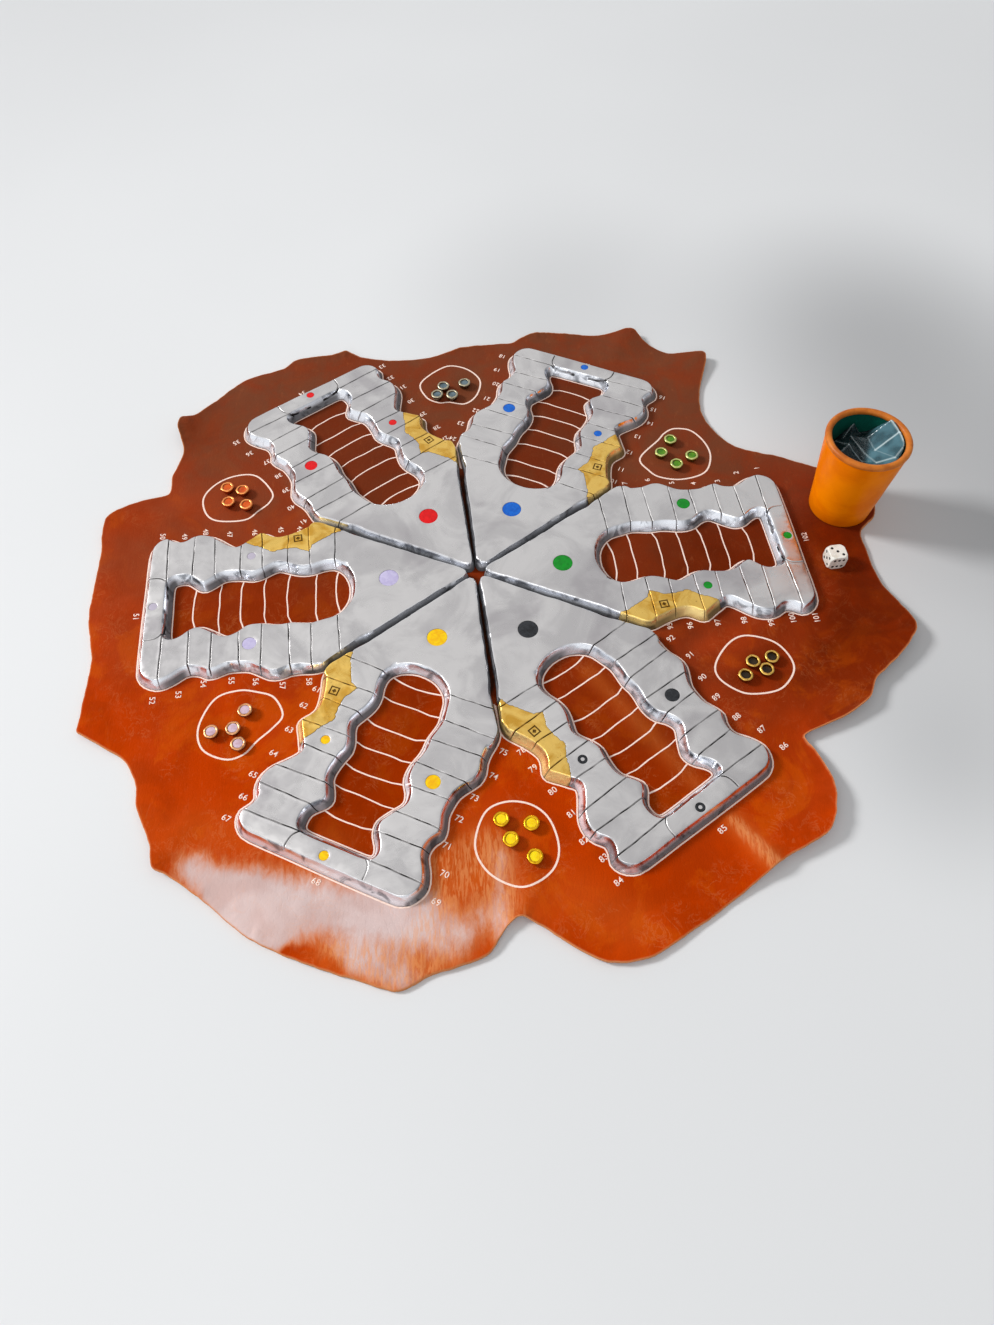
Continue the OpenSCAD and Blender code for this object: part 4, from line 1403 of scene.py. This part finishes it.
def make_counter(colour, player, i, brass, fill):
    """A small brass cup, filed by hand, with resin in its well."""
    name = f"counter_{colour}_{i + 1}"
    at = standing(name)
    slant = math.radians(SLANT_TURN * i + PLAYER_TURN * player)
    slope = math.tan(math.radians(RIM_SLANT))
    seed = player * COUNTERS_EACH + i
    sides = 5 + seed % 3

    def filed(r, z, a):
        place = ring_places(a, 1, z / 6)
        faceted = 0.018 * np.cos(sides * (a + seed)) * smoothstep(2, 6, z)
        r = r * (1 + faceted + 0.03 * noise_at(place, 0.9, seed + 0.4))
        z = z - np.maximum(0, r * np.cos(a - slant)) * slope * smoothstep(3.5, COUNTER_H, z)
        return r, z + 0.05 * noise_at(place, 0.4, seed + 0.1) * smoothstep(2, 5, z)

    profile = [(0, 0), (FOOT_R - 0.4, 0), (FOOT_R, 0.3), (FOOT_R + 0.55, 1.6),
               (COUNTER_R - 0.35, BELLY_H - 0.8), (COUNTER_R - 0.05, BELLY_H), (COUNTER_R, 4.9),
               (COUNTER_R - 0.12, COUNTER_H - 0.75), (COUNTER_R - 0.42, COUNTER_H - 0.25),
               (COUNTER_R - 0.95, COUNTER_H), (WELL_R + 0.75, COUNTER_H),
               (WELL_R + 0.25, COUNTER_H - 0.12), (WELL_R, COUNTER_H - 0.45),
               (WELL_R - 0.3, COUNTER_H - 1.6), (WELL_FLOOR_R + 0.2, WELL_FLOOR + 0.5),
               (WELL_FLOOR_R - 0.3, WELL_FLOOR), (0, WELL_FLOOR)]
    values = {}
    for value, share, rows in (("polish", 1, (8, 9, 10, 11)), ("grime", 0.55, (1, 2, 12, 13))):
        values[value] = np.zeros((len(profile), COUNTER_SIDES))
        values[value][rows, :] = share
        values[value] = values[value].ravel()
    make_piece(name + "_cup", *lathe(profile, COUNTER_SIDES, at, filed), brass, name, [name],
               "counter_brass", values, 50, WELD)
    level, swell = FILLS[colour]
    level_z = COUNTER_H - level - 0.05 * (seed % 3)
    r = 0.12 + np.interp(level_z, [WELL_FLOOR, COUNTER_H], [WELL_FLOOR_R, WELL_R])
    profile = [(0, level_z - 0.5), (r, level_z - 0.5), (r, level_z + 0.1 - max(0, swell))]
    profile += [(r * s, level_z + swell * (1 - s * s) + 0.1 * s ** 6)
                for s in (0.94, 0.8, 0.55, 0.3, 0)]
    points, faces = lathe(profile, 40, at)
    down = (points - at) @ [math.cos(slant), math.sin(slant), 0]
    points[:, 2] -= 0.25 + down * 0.3 * slope
    make_piece(f"resin_{colour}_{i + 1}", points, faces, fill, name, slot="enamel_" + colour,
               weld=WELD)


# The die

PIPS = {
    1: [(0, 0)], 2: [(-1, -1), (1, 1)], 3: [(-1, 1), (0, 0), (1, -1)],
    4: [(-1, -1), (-1, 1), (1, -1), (1, 1)],
    5: [(-1, -1), (-1, 1), (1, -1), (1, 1), (0, 0)],
    6: [(x, y) for x in (-1, 0, 1) for y in (-1, 1)],
}
# The number on each face, and how it is turned about X, Y and Z from the top
DIE_FACES = [(3, (0, 0, 0)), (4, (180, 0, 0)), (6, (90, 0, 0)), (1, (-90, 0, 0)),
             (5, (0, -90, 0)), (2, (0, 90, 0))]
DIE_STEPS = 46


def make_die():
    """A rounded cube with bowl-shaped pips. Each face is a fine grid."""
    middle = np.array(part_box("die_cube")).mean(0) / MM
    half = DIE_SIDE / 2
    ticks = np.linspace(-half, half, DIE_STEPS + 1)
    x, y = np.meshgrid(ticks, ticks, indexing="ij")
    flat = np.column_stack([x.ravel(), y.ravel(), np.full(x.size, half)])
    across = DIE_STEPS + 1
    squares = [(a, a + across, a + across + 1, a + 1) for a in range(DIE_STEPS * across)
               if a % across < DIE_STEPS]
    sides, bowls = [], []
    for number, turns in DIE_FACES:
        rotation = np.array(Euler([math.radians(t) for t in turns]).to_matrix()).T
        depth = np.zeros(len(flat))
        for pip in PIPS[number]:
            at = np.array(pip) * PIP_SPACING
            r = np.linalg.norm(flat[:, :2] - at, axis=1)
            depth = np.maximum(depth, 1.35 * PIP_DEPTH * (1 - smoothstep(0.55, 1.02, r / PIP_R)))
            points, faces = pip_bowl(at, half)
            bowls.append((points @ rotation, faces))
        points = softened(flat)
        points[:, 2] -= depth
        sides.append((points @ rotation, squares))
    for name, parts, material, node, weld in (
            ("die_body", sides, die_white(), "die_cube", 10 * WELD),
            ("die_pip_paint", bowls, die_black(), "die_pips", WELD)):
        points, faces = joined(parts)
        make_piece(name, turned(points, DIE_TURN) + middle, faces, material, "die", [node],
                   weld=weld)


def softened(p):
    """The cube's points drawn in to soft edges and to the ball that rounds its corners."""
    half, soft = DIE_SIDE / 2, 0.6
    core = np.clip(p, -half + soft, half - soft)
    out = p - core
    length = np.linalg.norm(out, axis=1)[:, None]
    p = core + out / np.maximum(length, 1e-9) * soft
    far = np.linalg.norm(p, axis=1)[:, None]
    limit = DIE_BALL_R - 0.15 * np.log1p(np.exp((DIE_BALL_R - far) / 0.15))
    return p / far * limit


def pip_bowl(at, half):
    """A shallow bowl of paint in a pip, with a closed back."""
    profile = [(0, -PIP_DEPTH - 0.12), (PIP_R, -0.06)]
    profile += [(PIP_R * s, 0.015 - PIP_DEPTH * (1 - s * s))
                for s in (1.0, 0.92, 0.75, 0.5, 0.25, 0.0)]
    return lathe(profile, 24, (*at, half))


# The dice cup

CUP_AT = standing("cup_shell")
CUP_TOP_R = max(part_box("cup_shell")[1].x / MM - CUP_AT[0], CUP_FOOT_R)
SEAM_AT = math.radians(62)


def wall_radius(z):
    """The outer radius of the cup's wall at a height above its foot."""
    return np.interp(z, [0, CUP_H - 2 * RIM_ROLL_R - COLLAR_H], [CUP_FOOT_R, CUP_TOP_R])


def from_seam(a):
    """How far round the wall an angle is from the cup's seam, in millimetres."""
    return np.abs((a - SEAM_AT + math.pi) % (2 * math.pi) - math.pi) * 30


def make_cup():
    leather, felt, tan = cup_leather(), cup_felt(), binding_leather()

    def seamed(r, z, a):
        place, away = ring_places(a, 28, z), from_seam(a)
        groove = 0.35 * np.exp(-(away / 0.45) ** 2) - 0.12 * np.exp(-((away - 1.4) / 0.8) ** 2)
        sway = 0.14 * noise_at(place, 22) + 0.05 * noise_at(place, 6, 2)
        return r + np.where(r > wall_radius(z) - 0.9, sway - groove, 0), z

    rise = np.concatenate([[0, 0.5, 1.4], np.linspace(3, CUP_H - RIM_ROLL_R - 0.6, 46)])
    outer = [(wall_radius(z) - max(0, 0.7 - z) ** 1.5, z) for z in rise]
    inner = [(r - CUP_WALL + (0.6 if z < 1 else 0), z) for r, z in outer][::-1]
    points, faces = lathe(outer + inner, CUP_SIDES, CUP_AT, seamed)
    x, y, z = (points - CUP_AT).T
    # Dark along the seam, and painted shade at the very foot
    darkening = 0.7 * np.exp(-(from_seam(np.arctan2(y, x)) / 0.4) ** 2)
    darkening = np.maximum(darkening, 0.5 - 0.5 * smoothstep(0.2, 1.6, z))
    make_piece("cup_wall", points, faces, leather, "dice_cup", ["cup_shell"],
               values={"grime": darkening}, sharp=50)
    make_lining(felt)
    make_binding(tan)
    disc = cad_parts["cup_base"]
    disc.data.materials.clear()
    disc.data.materials.append(tan)
    make_bag()


def make_lining(felt):
    floor_r, floor_z = CUP_FOOT_R - CUP_WALL - 0.1, CUP_BASE_T + 0.05
    rise = np.linspace(CUP_BASE_T + 3, CUP_H - RIM_ROLL_R - 0.4, 30)
    wall = [(wall_radius(z) - CUP_WALL - 0.1, z) for z in rise]
    profile = [(0, floor_z), (floor_r - 1.2, floor_z)] + wall
    profile += [(r - LINING_T, z) for r, z in wall[::-1]]
    profile += [(floor_r - LINING_T - 2.2, CUP_BASE_T + LINING_T + 0.4),
                (floor_r - LINING_T - 4.5, CUP_BASE_T + LINING_T), (0, CUP_BASE_T + LINING_T)]

    def woolly(r, z, a):
        return r - 0.12 * (1 + noise_at(ring_places(a, 26, z), 5, 6)) * (r > 3), z

    make_piece("cup_felt_lining", *lathe(profile, 120, CUP_AT, woolly), felt, "dice_cup",
               ["cup_lining"], weld=WELD)


def make_binding(tan):
    """The roll of leather that grips the wall and the lining at the mouth."""
    low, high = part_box("cup_binding")
    ring_r, ring_z = (high.x - low.x) / 2 / MM - RIM_ROLL_R, CUP_H - RIM_ROLL_R
    profile = [(ring_r + RIM_ROLL_R * math.cos(t), ring_z + RIM_ROLL_R * math.sin(t))
               for t in np.radians(np.linspace(-62, 242, 26))]
    profile += [(ring_r - 0.9, ring_z + 0.6), (ring_r + 0.9, ring_z + 0.6)]

    def rolled(r, z, a):
        place = ring_places(a, 36, z / 2)
        swell = 0.12 * noise_at(place, 18, 3) + 0.03 * noise_at(place, 5, 5)
        grown = 1 + swell / RIM_ROLL_R
        return ring_r + (r - ring_r) * grown, ring_z + (z - ring_z) * grown

    # Painted shade where the roll tucks in at its two ends
    darkening = np.repeat([0.6 if i < 2 or i > 23 else 0 for i in range(len(profile))], CUP_SIDES)
    make_piece("cup_rolled_rim", *lathe(profile, CUP_SIDES, CUP_AT, rolled), tan, "dice_cup",
               ["cup_binding"], values={"grime": darkening}, sharp=60, weld=WELD)


# Corners of the crumpled bag's facets, from the cup's middle and above its foot
BAG_FOLDS = [
    (23, 18, 92), (29, 7, 88), (30, -8, 87), (20, -19, 83), (8, -4, 77), (6, 14, 75),
    (-5, 27, 81), (-12, 21, 67), (7, 24, 66), (15, 27, 72), (4, 31, 64), (-18, 26, 60),
    (-21, 17, 69), (-8, 17, 74), (-1, 4, 71), (-13, 5, 76), (-11, -6, 72), (6, -18, 76),
    (10, -30, 75), (-5, -29, 70), (-20, -22, 67), (-29, -11, 69), (-31, 3, 66), (-28, 13, 64),
    (-22, -2, 74), (-12, -17, 71), (-2, -10, 69),
]
# Painted highlights along its creases: from, to, half width and strength
BAG_CREASES = [
    ((23, 18), (29, 7), 0.8, 1.0), ((29, 7), (30.5, -8), 0.9, 1.0), ((29, 7), (8, -4), 0.6, 1.0),
    ((30, -8), (20, -19), 0.5, 0.6), ((20, -19), (6, -18), 0.6, 0.8), ((23, 18), (6, 14), 0.4, 0.4),
    ((8, -4), (6, 14), 0.35, 0.3), ((20, -19), (8, -4), 0.35, 0.25), ((-5, 27), (-12, 21), 0.5, 0.6),
    ((-5, 27), (7, 24), 0.4, 0.35), ((-21, 17), (-13, 5), 0.4, 0.45), ((-13, 5), (-2, -10), 0.5, 0.5),
    ((-8, 17), (-1, 4), 0.5, 0.45), ((-1, 4), (6, -18), 0.4, 0.4), ((-22, -2), (-12, -17), 0.45, 0.5),
    ((-12, -17), (-5, -29), 0.4, 0.4), ((-13, 5), (-22, -2), 0.4, 0.4),
]
BAG_STEP = 0.7
FILM_T = 0.12


def make_bag():
    """A crumpled clear bag: flat facets between sharp creases, high at the right of the cup."""
    folds = delaunay_2d_cdt([Vector(k[:2]) for k in BAG_FOLDS], [], [], 0, 1e-6)[2]
    facets = BVHTree.FromPolygons([Vector(k) for k in BAG_FOLDS], folds)
    reach = wall_radius(70) - CUP_WALL - LINING_T - 1.5
    spots = grid((-reach, -reach), (reach, reach), BAG_STEP)
    spots = spots[np.hypot(spots[:, 0], spots[:, 1]) < reach - BAG_STEP]
    xy, faces = triangulated([circle((0, 0), reach, 90)[:-1]], [], spots)
    z = []
    for x, y in xy:
        # Beside the folds the film is as high as they are a little further in
        for share in (1, 0.97, 0.93, 0.88, 0.8):
            hit = facets.ray_cast(Vector((x * share, y * share, 200)), Vector((0, 0, -1)))[0]
            if hit is not None:
                break
        z.append(hit.z)
    z = smoothed(np.array(z), faces, np.zeros(len(xy), bool), 1)
    # The facets on the right are painted as lit, the rest as in shade
    lit = smoothstep(1, 8, xy[:, 0] - 0.35 * xy[:, 1])
    flat = with_z(xy, 0)
    z += (1 - lit) * (0.8 * noise_at(flat, 6.5, 9) + 0.1 * noise_at(flat, 2.4, 4))
    sway = 0.5 * np.column_stack([noise_at(with_z(xy, 1), 6, n) for n in (1, 2)])
    crease_highlight = np.clip(strokes(xy + sway * (1 - 0.7 * lit)[:, None], BAG_CREASES), 0, 1)
    bag = make_piece("clear_bag", with_z(xy, z) + CUP_AT, faces.tolist(), clear_film(),
                     "dice_cup", values={"polish": crease_highlight, "lit": lit}, sharp=25)
    film = bag.modifiers.new("film", "SOLIDIFY")
    film.thickness = FILM_T * MM


# The scene


def make_camera():
    data = bpy.data.cameras.new("camera")
    data.sensor_width = SENSOR
    data.lens = SENSOR * FOCAL_PX / PHOTO_H
    data.clip_start, data.clip_end = 0.02, 20
    camera = linked("camera", data)
    tilt = Matrix.Rotation(math.radians(90 - CAMERA_ELEVATION), 4, "X")
    roll = Matrix.Rotation(math.radians(CAMERA_ROLL), 4, "Z")
    camera.matrix_world = Matrix.Translation(Vector(CAMERA_AT) * MM) @ tilt @ roll
    bpy.context.scene.camera = camera


def make_lamp(name, place, aim, size, power):
    """A round lamp, placed, aimed and sized in metres."""
    data = bpy.data.lights.new(name, "AREA")
    data.shape = "DISK"
    data.size = size
    data.energy = power
    lamp = linked(name, data)
    lamp.location = place
    lamp.rotation_euler = (Vector(aim) - Vector(place)).to_track_quat("-Z", "Y").to_euler()


# Painted shadows on the backdrop paper beside the cup and the hide, and painted shade far off to
# the left where the key lamp lights it most: centre, radius and strength
FLOOR_SHADES = [((560, 80), 420, 0.57), ((100, 400), 260, 0.22), ((-1300, 1500), 1700, 0.4),
                ((380, -190), 150, 0.3), ((440, 330), 280, 0.5)]


def make_floor():
    mesh = bpy.data.meshes.new("floor")
    mesh.from_pydata([(-6, -6, 0), (6, -6, 0), (6, 6, 0), (-6, 6, 0)], [], [(0, 1, 2, 3)])
    s = Shader("floor_paper", (226, 227, 228))
    s.over(s.patches(0.3, 0.7, 900, 3, 0.5), (221, 222, 223))
    # Painted shadows and shade on the paper
    for centre, radius, shade in FLOOR_SHADES:
        s.over(s.blob(centre, radius), (128, 128, 130), shade)
    mesh.materials.append(s.done(0.75))
    floor = linked("floor", mesh)
    floor.location.z = -0.0002


def make_world():
    """Soft light from all round, and a pale backdrop, greyer on the right, where it is seen,
    mirrored or behind film."""
    world = bpy.data.worlds.new("studio")
    bpy.context.scene.world = world
    world.use_nodes = True
    s = Nodes(world.node_tree)
    light = s.tree.nodes["Background"]
    light.inputs["Color"].default_value = (0.98, 0.99, 1, 1)
    light.inputs["Strength"].default_value = 0.5
    way = s.node("SeparateXYZ", {0: s.node("TexCoord", {}, "Generated")}, "X")
    fade = s.node("ValToRGB", {"Fac": way}, "Color")
    left, right = fade.node.color_ramp.elements
    left.color, left.position = (0.9, 0.91, 0.92, 1), 0.05
    right.color = (0.34, 0.34, 0.35, 1)
    backdrop = s.node("Background", {"Color": fade})
    path = s.tree.nodes.new("ShaderNodeLightPath")
    seen = path.outputs["Is Camera Ray"]
    for ray in ("Is Glossy Ray", "Is Transmission Ray"):
        seen = s.math("MAXIMUM", seen, path.outputs[ray])
    blend = s.node("MixShader", {0: seen, 1: light.outputs[0], 2: backdrop})
    s.put(s.tree.nodes["World Output"].inputs["Surface"], blend)


make_camera()
drape = mesh_tree(make_hide())
ink = printed_ink()
make_lines(drape, ink)
make_numbers(drape, ink)
make_plates()
make_counters()
make_die()
make_cup()
make_floor()
make_world()
make_lamp("key", (-5, 1.5, 3.6), (0.05, 0, 0), 1.5, 325)
make_lamp("fill", (-0.6, -1.5, 1.3), (0, 0, 0), 1.2, 6)
make_lamp("window", (-0.57, 0.06, 1.5), (-0.15, -0.3, 0), 0.26, 0.16)
bpy.context.scene.view_settings.view_transform = "Standard"
